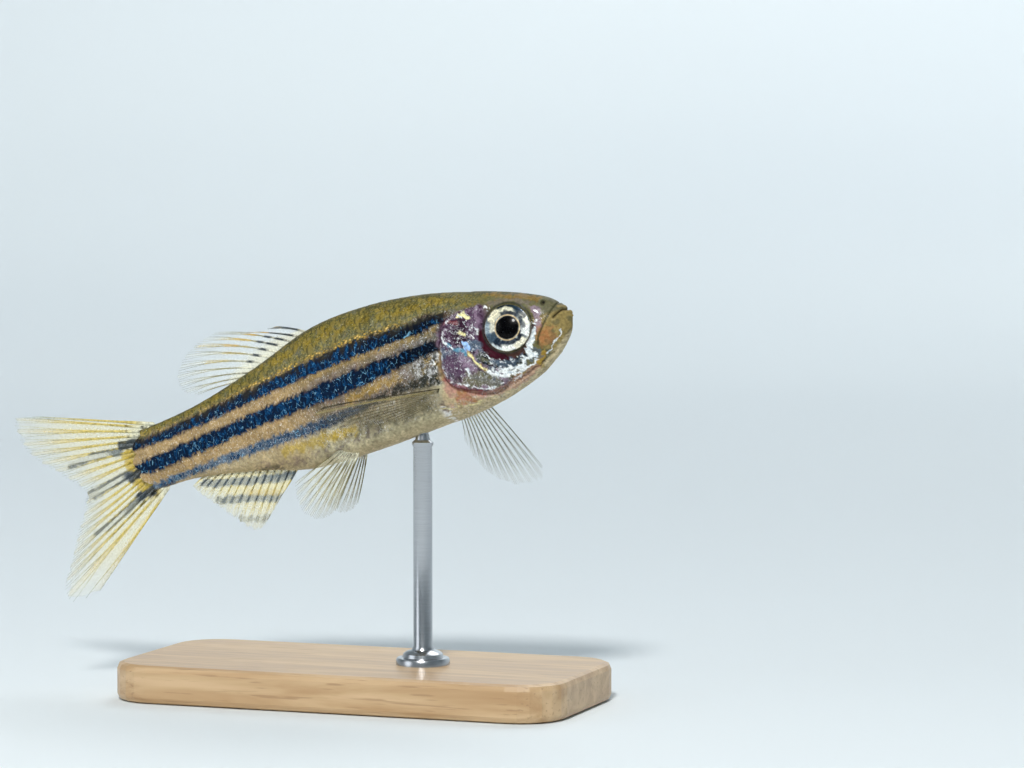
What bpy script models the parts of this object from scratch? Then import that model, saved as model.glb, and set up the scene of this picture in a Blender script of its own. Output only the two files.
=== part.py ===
"""A zebra danio as a still, life-size display model, held by a plain stand.

World frame: metres, +Z up, the fish heads along +X with its right flank to -Y,
and the origin is the middle of the underside of the stand's base.

The fish is drawn in its own frame, in percent of its standard length:
back   distance behind the tip of the snout, along the body's axis
out    distance from the middle plane, positive to the fish's left
up     height above the body's axis
"""

import math

import bmesh
import bpy
from mathutils import Vector

# Driving dimensions of the fish
STANDARD_LENGTH = 0.031
HEAD_UP = math.radians(18.5)
SNOUT_HEIGHT = 0.0245
PERCENT = STANDARD_LENGTH / 100.0

# Driving dimensions of the stand
BASE_LENGTH = 0.030
BASE_WIDTH = 0.014
BASE_HEIGHT = 0.0024
BASE_CORNER = 0.003
BASE_EDGE = 0.0004
ROD_RADIUS = 0.0006
ROD_FOOT_RADIUS = 0.0017
ROD_FOOT_HEIGHT = 0.0009
ROD_AHEAD = 0.0040
ROD_STATION = 38.5
ROD_SIDES = 20
CORNER_STEPS = 6

# Clearance between pieces that touch, and the thickness of the fins
GAP = 0.0003
GAP_PERCENT = GAP / PERCENT
MEMBRANE_THICKNESS = 0.00050 / PERCENT
RAY_THICKNESS = 0.00066 / PERCENT

# Outlines of the body as (back, height or half width)
BACK_LINE = ((0, 0.2), (1.2, 2.4), (3.7, 5.0), (8.8, 7.6), (18, 10.9), (30, 14.0), (42, 15.4),
             (55, 14.8), (70, 10.6), (85, 7.3), (95, 6.4), (100, 6.2))
BELLY_LINE = ((0, 0.2), (1.1, -2.3), (4.9, -6.1), (11.9, -9.7), (22.9, -12.2), (36, -13.0),
              (50, -13.4), (62, -13.0), (67, -12.1), (71, -10.9), (80, -8.7), (90, -7.1), (100, -6.9))
HALF_WIDTH = ((0, 0.0), (1.2, 1.8), (3.7, 3.2), (8.8, 4.9), (14, 5.8), (22, 6.8), (32, 7.4),
              (45, 7.1), (58, 5.9), (70, 4.3), (82, 3.0), (92, 2.1), (100, 1.5))
WIDEST_AT = ((0, 0.2), (5, 0.3), (14, 0.8), (30, 0.2), (60, 0.0), (100, -0.3))
UPPER_FULLNESS = 2.1
LOWER_FULLNESS = ((0, 2.1), (12, 1.8), (30, 2.0), (45, 2.1), (100, 2.1))
BODY_STATIONS = 46
BODY_SEGMENTS = 32
ROOT_BULGE = 3.0
ROOT_BULGE_FROM = 88.0

# Lines that part the body, as (back, up)
SHOULDER_CENTRE = (12.5, -0.5)
SHOULDER_RADIUS = 15.4
VENT_AT = 66.0
JAW_OUTLINE = ((-3.0, 1.9), (1.2, 1.9), (3.4, 0.6), (7.6, -2.2), (10.6, -12.5), (-3.0, -12.5))
GILL_COVER_CENTRE = (18.2, -0.6)
GILL_COVER_RADIUS = 9.1
CHEEK_CENTRE = (12.5, 0.0)
CHEEK_RADIUS = 8.6
GILL_COVER_TOP = math.radians(46)
GILL_COVER_FOOT = math.radians(-98)
CHEEK_TOP = math.radians(38)
CHEEK_FOOT = math.radians(-64)
GILL_COVER_DEPTH = 1.9
ARC_STEPS = 14
BODY_ARC_STEPS = 47
CUTTER_WIDE = 12.0
CUTTER_TALL = 30.0
CUTTER_END = 120.0

# Eyes
EYE_AT = (12.4, 1.7)
EYE_RADIUS = 4.7
EYE_HALF_DEPTH = 2.2
EYE_PROUD = 0.55
EYE_SEGMENTS = 22
EYE_RINGS = 11

# Median fins as (place from 0 at the front ray to 1 at the last, back, up)
DORSAL_BASE = ((0.0, 56.2), (1.0, 74.5))
DORSAL_TIP = ((0.0, 62.5, 17.4), (0.08, 68.5, 17.9), (0.18, 75.2, 20.2), (0.3, 78.8, 19.8),
              (0.42, 82.0, 18.7), (0.54, 84.8, 17.0), (0.66, 87.0, 14.8), (0.78, 87.3, 12.7),
              (0.89, 86.4, 10.7), (1.0, 83.6, 9.2))
DORSAL_BULGE = ((0.0, 0.3), (0.15, 0.5), (0.5, 0.9), (1.0, 0.2))
ANAL_BASE = ((0.0, 67.2), (1.0, 87.0))
ANAL_TIP = ((0.0, 73.0, -16.4), (0.08, 76.9, -19.9), (0.17, 79.5, -21.5), (0.27, 81.2, -20.7),
            (0.45, 83.8, -17.5), (0.65, 86.8, -14.0), (0.85, 89.6, -10.6), (1.0, 90.7, -8.5))
ANAL_BULGE = ((0.0, -0.2), (0.3, 0.3), (1.0, 0.2))
CAUDAL_BASE = ((0.0, 97.5, 7.2), (0.2, 100.3, 4.2), (0.5, 101.3, -0.3), (0.8, 100.3, -4.8),
               (1.0, 97.5, -7.9))
CAUDAL_TIP = ((0.0, 121.0, 16.0), (0.06, 126.3, 17.0), (0.14, 126.3, 12.6), (0.24, 124.3, 7.8),
              (0.36, 118.9, 2.4), (0.48, 114.8, -2.3), (0.56, 115.6, -4.9), (0.68, 119.2, -9.9),
              (0.8, 123.0, -15.2), (0.92, 126.0, -20.6), (0.97, 125.0, -24.0), (1.0, 118.6, -23.4))
CAUDAL_BULGE = ((0.0, 0.0), (0.4, 0.1), (0.6, -0.4), (1.0, 0.0))

# Paired fins as (place, back, up) on the flank, or (place, back, up, out) in the open
FOLDED_BASE = ((0.0, 29.4, -5.6), (1.0, 31.6, -8.3))
FOLDED_TIP = ((0.0, 54.5, -1.5), (0.14, 57.3, -2.6), (0.3, 57.0, -4.4), (0.5, 54.0, -6.5),
              (0.75, 47.0, -8.6), (1.0, 39.5, -9.6))
FOLDED_LIFT = 0.9
SPREAD_BASE = ((0.0, 27.9, -5.8), (1.0, 31.4, -8.8))
SPREAD_BOW = 0.8
SPREAD_OUTWARD = (-0.55, 0.75, 0.35)
SPREAD_TIP = ((0.0, 22.6, -26.8, 19.0), (0.12, 23.6, -29.0, 18.8), (0.35, 27.2, -29.0, 17.6),
              (0.55, 30.2, -27.6, 16.6), (0.75, 33.0, -24.8, 15.6), (0.9, 34.8, -20.8, 14.8),
              (1.0, 35.6, -16.6, 14.2))
PELVIC_BASE = ((0.0, 52.0, 2.2), (1.0, 55.2, 3.6))
PELVIC_BOW = 0.5
PELVIC_OUTWARD = (0.0, 1.0, 0.15)
PELVIC_TIP = ((0.0, 59.0, -22.3, 5.6), (0.15, 61.0, -23.2, 6.0), (0.4, 64.0, -23.0, 6.2),
              (0.65, 66.2, -20.6, 6.0), (0.85, 66.8, -17.4, 5.6), (1.0, 66.4, -14.6, 5.0))

# Rays and the rows of faces along them
DORSAL_RAYS = 10
ANAL_RAYS = 14
CAUDAL_RAYS = 19
PECTORAL_RAYS = 12
PELVIC_RAYS = 8
FIN_ROWS = 5
MEMBRANE_SCALLOP = 0.975

# Colour, roughness and metallic value of each material
OLIVE_SKIN = ((0.36, 0.29, 0.15), 0.35, 0.2)
STRIPED_SKIN = ((0.20, 0.20, 0.22), 0.3, 0.3)
PEARL_SKIN = ((0.52, 0.42, 0.38), 0.25, 0.4)
JAW_SKIN = ((0.45, 0.36, 0.20), 0.35, 0.1)
EYE_SILVER = ((0.75, 0.76, 0.72), 0.1, 0.3)
FIN_MEMBRANE = ((0.66, 0.62, 0.42), 0.4, 0.0)
MAPLE = ((0.72, 0.56, 0.38), 0.45, 0.0)
STEEL = ((0.62, 0.62, 0.64), 0.25, 1.0)


def clear_scene():
    for item in list(bpy.data.objects):
        bpy.data.objects.remove(item, do_unlink=True)


def interpolate(knots, x):
    """Smooth curve through (x, value) knots: a cubic with slopes taken from the neighbours."""
    last = len(knots) - 1
    if x <= knots[0][0]:
        return knots[0][1]
    if x >= knots[last][0]:
        return knots[last][1]
    i = next(k for k in range(last) if knots[k + 1][0] >= x)

    def slope(k):
        low = max(k - 1, 0)
        high = min(k + 1, last)
        return (knots[high][1] - knots[low][1]) / (knots[high][0] - knots[low][0])

    span = knots[i + 1][0] - knots[i][0]
    t = (x - knots[i][0]) / span
    start, end = knots[i][1], knots[i + 1][1]
    pull_in, pull_out = slope(i) * span, slope(i + 1) * span
    return (start * (2 * t ** 3 - 3 * t ** 2 + 1) + pull_in * (t ** 3 - 2 * t ** 2 + t)
            + end * (3 * t ** 2 - 2 * t ** 3) + pull_out * (t ** 3 - t ** 2))


def body_line(knots, back):
    """Body outline at a station; working in square roots rounds the snout."""
    rooted = [(math.sqrt(x), value) for x, value in knots]
    return interpolate(rooted, math.sqrt(max(back, 0.0)))


def column(knots, index):
    """The knots of one coordinate of a fin's table."""
    return [(row[0], row[index]) for row in knots]


def fish_to_world(back, out, up):
    forward = -back * math.cos(HEAD_UP) - up * math.sin(HEAD_UP)
    rise = -back * math.sin(HEAD_UP) + up * math.cos(HEAD_UP)
    return Vector((forward * PERCENT, out * PERCENT, rise * PERCENT))


# The rod stands under its own station of the belly, and that places the fish
ROD_TOP_ON_FISH = fish_to_world(ROD_STATION, 0.0, body_line(BELLY_LINE, ROD_STATION))
SNOUT = Vector((ROD_AHEAD - ROD_TOP_ON_FISH.x, 0.0, SNOUT_HEIGHT))


def place(back, out, up):
    return SNOUT + fish_to_world(back, out, up)


def flank(back, up):
    """Half width of the body at a station and a height."""
    middle = body_line(WIDEST_AT, back)
    if up >= middle:
        reach = body_line(BACK_LINE, back) - middle
        fullness = UPPER_FULLNESS
    else:
        reach = middle - body_line(BELLY_LINE, back)
        fullness = body_line(LOWER_FULLNESS, back)
    share = min(abs(up - middle) / reach, 1.0)
    return body_line(HALF_WIDTH, back) * (1.0 - share ** fullness) ** (1.0 / fullness)


def underside(back, out):
    """Height of the belly's skin at a station and a distance from the middle plane."""
    middle = body_line(WIDEST_AT, back)
    fullness = body_line(LOWER_FULLNESS, back)
    share = min(abs(out) / body_line(HALF_WIDTH, back), 1.0)
    return middle - (middle - body_line(BELLY_LINE, back)) * (1.0 - share ** fullness) ** (1.0 / fullness)


def body_point(back, angle):
    """Point of the skin at a station, the angle running from the back down the left side."""
    middle = body_line(WIDEST_AT, back)
    rise, side = math.cos(angle), math.sin(angle)
    if rise >= 0.0:
        reach = body_line(BACK_LINE, back) - middle
        fullness = UPPER_FULLNESS
    else:
        reach = middle - body_line(BELLY_LINE, back)
        fullness = body_line(LOWER_FULLNESS, back)
    up = middle + math.copysign(abs(rise) ** (2.0 / fullness), rise) * reach
    out = math.copysign(abs(side) ** (2.0 / fullness), side) * body_line(HALF_WIDTH, back)
    tail_share = max(back - ROOT_BULGE_FROM, 0.0) / (100.0 - ROOT_BULGE_FROM)
    return place(back - ROOT_BULGE * tail_share * rise ** 2, out, up)


def material(name, look):
    colour, roughness, metallic = look
    made = bpy.data.materials.get(name) or bpy.data.materials.new(name)
    made.use_nodes = True
    shader = made.node_tree.nodes["Principled BSDF"]
    shader.inputs["Base Color"].default_value = (*colour, 1.0)
    shader.inputs["Roughness"].default_value = roughness
    shader.inputs["Metallic"].default_value = metallic
    return made


def add_object(name, mesh_builder, finish, sharp_above=50):
    """Makes an object of a bmesh, with its faces turned outwards and shaded smooth."""
    bmesh.ops.recalc_face_normals(mesh_builder, faces=mesh_builder.faces)
    if mesh_builder.calc_volume(signed=True) < 0.0:
        bmesh.ops.reverse_faces(mesh_builder, faces=mesh_builder.faces)
    mesh = bpy.data.meshes.new(name)
    mesh_builder.to_mesh(mesh)
    mesh_builder.free()
    made = bpy.data.objects.new(name, mesh)
    bpy.context.scene.collection.objects.link(made)
    if finish is not None:
        mesh.materials.append(finish)
    mesh.shade_smooth()
    mesh.set_sharp_from_angle(angle=math.radians(sharp_above))
    return made


def bridge(mesh_builder, rings):
    """Faces between closed rings of vertices that follow one another."""
    for ring, following in zip(rings, rings[1:]):
        for k in range(len(ring)):
            n = (k + 1) % len(ring)
            mesh_builder.faces.new((ring[k], ring[n], following[n], following[k]))


def body(name, finish):
    """The whole body, from the snout to the root of the tail fin, as one loft."""
    mesh_builder = bmesh.new()
    rings = []
    for station in range(1, BODY_STATIONS + 1):
        back = 100.0 * (station / BODY_STATIONS) ** 2
        points = [body_point(back, math.tau * k / BODY_SEGMENTS) for k in range(BODY_SEGMENTS)]
        rings.append([mesh_builder.verts.new(point) for point in points])
    bridge(mesh_builder, rings)
    tip = mesh_builder.verts.new(place(0.0, 0.0, BACK_LINE[0][1]))
    for k in range(BODY_SEGMENTS):
        mesh_builder.faces.new((tip, rings[0][k], rings[0][(k + 1) % BODY_SEGMENTS]))
    mesh_builder.faces.new(rings[-1])
    return add_object(name, mesh_builder, finish)


def prism(name, outline, low, high):
    """Solid cutter with an outline in (back, up), running across the fish."""
    mesh_builder = bmesh.new()
    rings = [[mesh_builder.verts.new(place(back, out, up)) for back, up in outline]
             for out in (low, high)]
    bridge(mesh_builder, rings)
    for ring in rings:
        mesh_builder.faces.new(ring)
    return as_cutter(add_object(name, mesh_builder, None))


def as_cutter(made):
    made.hide_render = True
    made.display_type = "WIRE"
    return made


def grown(outline, distance):
    """An outline moved outwards by a distance, corner by corner."""
    area = sum(p[0] * q[1] - q[0] * p[1] for p, q in zip(outline, outline[1:] + outline[:1]))
    turn = 1.0 if area > 0 else -1.0
    moved = []
    for k, point in enumerate(outline):
        before = Vector(point) - Vector(outline[k - 1])
        after = Vector(outline[(k + 1) % len(outline)]) - Vector(point)
        normals = [Vector((edge.y, -edge.x)).normalized() * turn for edge in (before, after)]
        corner = (normals[0] + normals[1]).normalized()
        moved.append(tuple(Vector(point) + corner * distance / max(corner.dot(normals[0]), 0.5)))
    return moved


def arc(centre, radius, start, end, steps=ARC_STEPS):
    angles = [start + (end - start) * k / steps for k in range(steps + 1)]
    return [(centre[0] + radius * math.cos(angle), centre[1] + radius * math.sin(angle))
            for angle in angles]


def ring_outline(radius):
    """The full circle that parts the head from the trunk."""
    last = math.tau * BODY_ARC_STEPS / (BODY_ARC_STEPS + 1)
    return arc(SHOULDER_CENTRE, radius, 0.0, last, BODY_ARC_STEPS)


def behind(back):
    """Outline of all there is of the fish behind a station."""
    return ((back, -CUTTER_TALL), (back, CUTTER_TALL), (CUTTER_END, CUTTER_TALL), (CUTTER_END, -CUTTER_TALL))


def cut(made, cutter, operation):
    modifier = made.modifiers.new(cutter.name, "BOOLEAN")
    modifier.operation = operation
    modifier.solver = "EXACT"
    modifier.object = cutter


def gill_cover_outline():
    """Hind margin as one arc, front margin as the arc round the cheek."""
    hind = arc(GILL_COVER_CENTRE, GILL_COVER_RADIUS, GILL_COVER_TOP, GILL_COVER_FOOT)
    front = arc(CHEEK_CENTRE, CHEEK_RADIUS, CHEEK_FOOT, CHEEK_TOP)
    return hind + front


def eye(name, side, finish, clearance=0.0):
    """A flattened ball, set so that it stands a little proud of the cheek."""
    back, up = EYE_AT
    centre_out = flank(back, up) + EYE_PROUD - EYE_HALF_DEPTH
    mesh_builder = bmesh.new()
    bmesh.ops.create_uvsphere(mesh_builder, u_segments=EYE_SEGMENTS, v_segments=EYE_RINGS, radius=1.0)
    for vertex in mesh_builder.verts:
        along, high, outward = vertex.co
        vertex.co = place(back + along * (EYE_RADIUS + clearance),
                          side * (centre_out + outward * (EYE_HALF_DEPTH + clearance)),
                          up + high * (EYE_RADIUS + clearance))
    return add_object(name, mesh_builder, finish)


def flat_shell(mesh_builder, grid, sheets):
    """Closes two sheets of vertices, row by row, into one thin solid."""
    front, behind = sheets
    rows, columns = len(grid), len(grid[0])
    for r in range(rows - 1):
        for c in range(columns - 1):
            mesh_builder.faces.new((front[r][c], front[r][c + 1], front[r + 1][c + 1], front[r + 1][c]))
            mesh_builder.faces.new((behind[r][c], behind[r + 1][c], behind[r + 1][c + 1], behind[r][c + 1]))
    rim = [(0, c) for c in range(columns)]
    rim += [(r, columns - 1) for r in range(1, rows)]
    rim += [(rows - 1, c) for c in range(columns - 2, -1, -1)]
    rim += [(r, 0) for r in range(rows - 2, 0, -1)]
    for (r, c), (rn, cn) in zip(rim, rim[1:] + rim[:1]):
        mesh_builder.faces.new((front[r][c], behind[r][c], behind[rn][cn], front[rn][cn]))


def fin(name, rays, point, outward, finish):
    """A fan of rays joined by membrane, the rays a little thicker.

    point(place, reach) gives (back, out, up) at a ray's place and a share of its length.
    outward is the direction of the fin's thickness there, as a vector in the same frame.
    """
    columns = 2 * rays - 1
    grid = []
    thickness = []
    for r in range(FIN_ROWS + 1):
        reach = r / FIN_ROWS
        line = []
        for c in range(columns):
            is_ray = c % 2 == 0
            pulled = reach if is_ray else reach * MEMBRANE_SCALLOP
            line.append(Vector(point(c / (columns - 1), pulled)))
        grid.append(line)
        thickness.append([RAY_THICKNESS if c % 2 == 0 else MEMBRANE_THICKNESS for c in range(columns)])
    mesh_builder = bmesh.new()
    sheets = []
    for sign in (0.5, -0.5):
        sheets.append([[mesh_builder.verts.new(place(*(spot + outward * sign * thick)))
                        for spot, thick in zip(line, thick_line)]
                       for line, thick_line in zip(grid, thickness)])
    flat_shell(mesh_builder, grid, sheets)
    return add_object(name, mesh_builder, finish, sharp_above=60)


def median_fin(name, rays, base, tip, bulge, finish):
    """A fin on the middle plane; its rays bow by the bulge, upwards where that is positive."""

    def point(spot, reach):
        root_back, root_up = base(spot)
        back = root_back + (interpolate(column(tip, 1), spot) - root_back) * reach
        up = root_up + (interpolate(column(tip, 2), spot) - root_up) * reach
        return back, 0.0, up + interpolate(bulge, spot) * 4.0 * reach * (1.0 - reach)

    return fin(name, rays, point, Vector((0.0, 1.0, 0.0)), finish)


def dorsal_root(spot):
    back = interpolate(DORSAL_BASE, spot)
    return back, body_line(BACK_LINE, back) + GAP_PERCENT


def anal_root(spot):
    back = interpolate(ANAL_BASE, spot)
    return back, body_line(BELLY_LINE, back) - GAP_PERCENT


def caudal_root(spot):
    return interpolate(column(CAUDAL_BASE, 1), spot), interpolate(column(CAUDAL_BASE, 2), spot)


def folded_pectoral(name, finish):
    """The right pectoral, folded back and lying along the flank."""
    clearance = GAP_PERCENT + RAY_THICKNESS / 2.0

    def point(spot, reach):
        place_on = []
        for index in (1, 2):
            root = interpolate(column(FOLDED_BASE, index), spot)
            place_on.append(root + (interpolate(column(FOLDED_TIP, index), spot) - root) * reach)
        back, up = place_on
        return back, -(flank(back, up) + clearance + FOLDED_LIFT * reach), up

    return fin(name, PECTORAL_RAYS, point, Vector((0.0, -1.0, 0.0)), finish)


def open_fin(name, rays, side, root, tip, bow, outward, finish):
    """A paired fin that stands away from the body, its rays bowed outwards."""

    def point(spot, reach):
        start = root(spot)
        end = [interpolate(column(tip, index), spot) for index in (1, 3, 2)]
        back, out, up = (a + (b - a) * reach for a, b in zip(start, end))
        return back, side * (out + bow * 4.0 * reach * (1.0 - reach)), up

    return fin(name, rays, point, Vector((outward[0], side * outward[1], outward[2])), finish)


def spread_root(spot):
    back = interpolate(column(SPREAD_BASE, 1), spot)
    up = interpolate(column(SPREAD_BASE, 2), spot)
    return back, flank(back, up) + GAP_PERCENT + MEMBRANE_THICKNESS / 2.0, up


def pelvic_root(spot):
    back = interpolate(column(PELVIC_BASE, 1), spot)
    out = interpolate(column(PELVIC_BASE, 2), spot)
    return back, out, underside(back, max(out - RAY_THICKNESS, 0.0)) - GAP_PERCENT


def stand_base(finish):
    """A flat plate with round corners and a small bevel round its edges."""
    mesh_builder = bmesh.new()
    corners = ((1, 1), (-1, 1), (-1, -1), (1, -1))
    outline = []
    for number, (side_x, side_y) in enumerate(corners):
        centre = (side_x * (BASE_LENGTH / 2 - BASE_CORNER), side_y * (BASE_WIDTH / 2 - BASE_CORNER))
        start = math.radians(90 * number)
        outline += arc(centre, BASE_CORNER, start, start + math.radians(90), steps=CORNER_STEPS)
    floor = mesh_builder.faces.new([mesh_builder.verts.new((x, y, 0.0)) for x, y in outline])
    top = bmesh.ops.extrude_face_region(mesh_builder, geom=[floor])["geom"]
    bmesh.ops.translate(mesh_builder, vec=(0.0, 0.0, BASE_HEIGHT),
                        verts=[item for item in top if isinstance(item, bmesh.types.BMVert)])
    made = add_object("stand_base", mesh_builder, finish, sharp_above=30)
    bevel = made.modifiers.new("Edge", "BEVEL")
    bevel.width = BASE_EDGE
    bevel.segments = 2
    bevel.limit_method = "ANGLE"
    bevel.angle_limit = math.radians(60)
    return made


def stand_rod(finish):
    """A turned rod with a round foot, up to just under the belly."""
    low = BASE_HEIGHT + GAP
    fish_belly = place(ROD_STATION, 0.0, body_line(BELLY_LINE, ROD_STATION))
    high = fish_belly.z - 2.0 * GAP
    shoulder = low + ROD_FOOT_HEIGHT
    profile = ((ROD_FOOT_RADIUS, low), (ROD_FOOT_RADIUS, low + 0.6 * ROD_FOOT_HEIGHT),
               (ROD_FOOT_RADIUS * 0.7, shoulder), (ROD_RADIUS, shoulder),
               (ROD_RADIUS, high - 0.5 * ROD_RADIUS), (0.6 * ROD_RADIUS, high))
    mesh_builder = bmesh.new()
    rings = []
    turns = [math.tau * k / ROD_SIDES for k in range(ROD_SIDES)]
    for radius, height in profile:
        rings.append([mesh_builder.verts.new((ROD_AHEAD + radius * math.cos(turn), radius * math.sin(turn),
                                              height)) for turn in turns])
    bridge(mesh_builder, rings)
    mesh_builder.faces.new(rings[0])
    mesh_builder.faces.new(rings[-1])
    return add_object("stand_rod", mesh_builder, finish, sharp_above=40)


def build_body():
    """The body in its parts, each one the whole loft cut by the lines between them."""
    olive = material("olive_skin", OLIVE_SKIN)
    striped = material("striped_skin", STRIPED_SKIN)
    pearl = material("pearl_skin", PEARL_SKIN)
    jaw_skin = material("jaw_skin", JAW_SKIN)
    silver = material("eye_silver", EYE_SILVER)
    across = (-CUTTER_WIDE, CUTTER_WIDE)
    head_zone = prism("cutter_head", ring_outline(SHOULDER_RADIUS), *across)
    trunk_front = prism("cutter_trunk_front", ring_outline(SHOULDER_RADIUS + GAP_PERCENT), *across)
    trunk_end = prism("cutter_trunk_end", behind(VENT_AT), *across)
    tail_zone = prism("cutter_tail", behind(VENT_AT + GAP_PERCENT), *across)
    jaw_zone = prism("cutter_jaw", JAW_OUTLINE, *across)
    jaw_room = prism("cutter_jaw_room", grown(JAW_OUTLINE, GAP_PERCENT), *across)

    head = body("head", olive)
    cut(head, head_zone, "INTERSECT")
    cut(head, jaw_room, "DIFFERENCE")
    jaw = body("lower_jaw", jaw_skin)
    cut(jaw, jaw_zone, "INTERSECT")
    trunk = body("trunk", striped)
    cut(trunk, trunk_front, "DIFFERENCE")
    cut(trunk, trunk_end, "DIFFERENCE")
    tail = body("tail", striped)
    cut(tail, tail_zone, "INTERSECT")

    cover_outline = gill_cover_outline()
    inner_face = flank(*GILL_COVER_CENTRE) - GILL_COVER_DEPTH
    for word, side in (("right", -1), ("left", 1)):
        low, high = sorted((side * inner_face, side * CUTTER_WIDE))
        cover_zone = prism("cutter_cover_" + word, cover_outline, low, high)
        low, high = sorted((side * (inner_face - GAP_PERCENT), side * CUTTER_WIDE))
        cover_room = prism("cutter_cover_room_" + word, grown(cover_outline, GAP_PERCENT), low, high)
        cover = body("gill_cover_" + word, pearl)
        cut(cover, cover_zone, "INTERSECT")
        cut(head, cover_room, "DIFFERENCE")
        eye("eye_" + word, side, silver)
        socket = as_cutter(eye("cutter_socket_" + word, side, None, clearance=GAP_PERCENT))
        cut(head, socket, "DIFFERENCE")


def build_fins():
    membrane = material("fin_membrane", FIN_MEMBRANE)
    median_fin("fin_dorsal", DORSAL_RAYS, dorsal_root, DORSAL_TIP, DORSAL_BULGE, membrane)
    median_fin("fin_anal", ANAL_RAYS, anal_root, ANAL_TIP, ANAL_BULGE, membrane)
    median_fin("fin_caudal", CAUDAL_RAYS, caudal_root, CAUDAL_TIP, CAUDAL_BULGE, membrane)
    folded_pectoral("fin_pectoral_right", membrane)
    open_fin("fin_pectoral_left", PECTORAL_RAYS, 1, spread_root, SPREAD_TIP, SPREAD_BOW,
             SPREAD_OUTWARD, membrane)
    for word, side in (("right", -1), ("left", 1)):
        open_fin("fin_pelvic_" + word, PELVIC_RAYS, side, pelvic_root, PELVIC_TIP, PELVIC_BOW,
                 PELVIC_OUTWARD, membrane)


def build_stand():
    stand_base(material("maple", MAPLE))
    stand_rod(material("steel", STEEL))


clear_scene()
build_body()
build_fins()
build_stand()
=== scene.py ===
"""The looks of a zebra danio display model: skin, scales, eyes, fins and stand.

Everything on the fish is placed in its own frame, in percent of its standard length:
back   distance behind the tip of the snout, along the body's axis
out    distance from the middle plane, positive to the fish's left
up     height above the body's axis
"""

import math

import bpy
import numpy as np
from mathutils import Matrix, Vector


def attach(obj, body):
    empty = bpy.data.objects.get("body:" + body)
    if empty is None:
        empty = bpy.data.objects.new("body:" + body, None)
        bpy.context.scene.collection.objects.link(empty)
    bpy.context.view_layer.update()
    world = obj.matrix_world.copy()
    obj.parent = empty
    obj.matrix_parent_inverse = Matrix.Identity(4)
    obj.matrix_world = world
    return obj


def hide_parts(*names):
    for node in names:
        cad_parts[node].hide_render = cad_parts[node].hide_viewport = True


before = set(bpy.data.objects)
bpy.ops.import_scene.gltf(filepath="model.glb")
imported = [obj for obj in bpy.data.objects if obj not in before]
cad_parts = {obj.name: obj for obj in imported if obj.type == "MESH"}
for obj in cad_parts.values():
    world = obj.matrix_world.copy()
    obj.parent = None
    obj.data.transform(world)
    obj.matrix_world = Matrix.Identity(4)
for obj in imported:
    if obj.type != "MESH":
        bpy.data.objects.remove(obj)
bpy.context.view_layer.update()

# The fish's size and pose, as in the solids
STANDARD_LENGTH = 0.031
HEAD_UP = math.radians(18.5)
SNOUT_HEIGHT = 0.0245
PERCENT = STANDARD_LENGTH / 100.0
ROD_AHEAD = 0.0040
ROD_STATION = 38.5
GAP_PERCENT = 0.0003 / PERCENT
RAY_ROOM = 0.00066 / PERCENT

# Outlines of the body as (back, height or half width), as in the solids
BACK_LINE = ((0, 0.2), (1.2, 2.4), (3.7, 5.0), (8.8, 7.6), (18, 10.9), (30, 14.0), (42, 15.4),
             (55, 14.8), (70, 10.6), (85, 7.3), (95, 6.4), (100, 6.2))
BELLY_LINE = ((0, 0.2), (1.1, -2.3), (4.9, -6.1), (11.9, -9.7), (22.9, -12.2), (36, -13.0),
              (50, -13.4), (62, -13.0), (67, -12.1), (71, -10.9), (80, -8.7), (90, -7.1), (100, -6.9))
HALF_WIDTH = ((0, 0.0), (1.2, 1.8), (3.7, 3.2), (8.8, 4.9), (14, 5.8), (22, 6.8), (32, 7.4),
              (45, 7.1), (58, 5.9), (70, 4.3), (82, 3.0), (92, 2.1), (100, 1.5))
WIDEST_AT = ((0, 0.2), (5, 0.3), (14, 0.8), (30, 0.2), (60, 0.0), (100, -0.3))
UPPER_FULLNESS = 2.1
LOWER_FULLNESS = ((0, 2.1), (12, 1.8), (30, 2.0), (45, 2.1), (100, 2.1))
ROOT_BULGE = 3.0
ROOT_BULGE_FROM = 88.0

# Skin mesh
HEAD_END = 30.0
HEAD_STATIONS = 210
TRUNK_STATIONS = 110
ROOT_STATIONS = 8
SEGMENTS = 256
SKIN_DEPTH = 0.18
HEAD_CROWDING = 1.35
ROOT_LENGTH = 0.5
ROOT_PINCH = 0.12

# Girth is the distance round the skin up from mid flank; on the left it is shifted, for a grain of its own
FAR_SIDE = 60.0
GIRTH_LIMIT = 25.0
TABLE_STEP = 0.25
TABLE_ANGLES = 300
TABLE_OVER = 0.5

# Scales: spacing along a row and between rows; how far their free edge stands up, and their root and sides
# are tucked in; their vertices along and across; their columns, and where the first and the last of them are;
# then the rows along the back and the belly as (angle, first station), and the skirt below a free edge
SCALE_PITCH = 2.3
ROW_PITCH = 1.7
SCALE_LIFT = 0.07
SCALE_TUCK = 0.10
SIDE_TUCK = 0.04
SCALE_ALONG = 8
SCALE_ACROSS = 7
SCALE_COLUMNS = 36
SCALES_FROM = 18.5
SCALES_TO = 99.4
MEDIAN_ROWS = ((0.0, 20.5), (math.pi, 32.5))
MEDIAN_LIFT = 0.04
SKIRT = 0.05

# Outline of a scale: its half width in row pitches and how far it narrows to its root; in scale pitches,
# where its root lies, its length and how much shorter it is at its sides; its random skew and size
SCALE_HALF = 1.15
SCALE_NARROWS = 0.75
SCALE_ROOT = -0.55
SCALE_LENGTH = 1.66
SCALE_ROUND = 0.56
SCALE_TILT = 0.12
SCALE_VARIES = 0.06

# Noise: columns and rows of its lattice, and where its first place lies on it
NOISE_COLUMNS = 61
NOISE_ROWS = 67
NOISE_SHIFT = (13.7, 27.3)

# Each scale's patch of the map, across
UV_PATCH = 0.003

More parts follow.
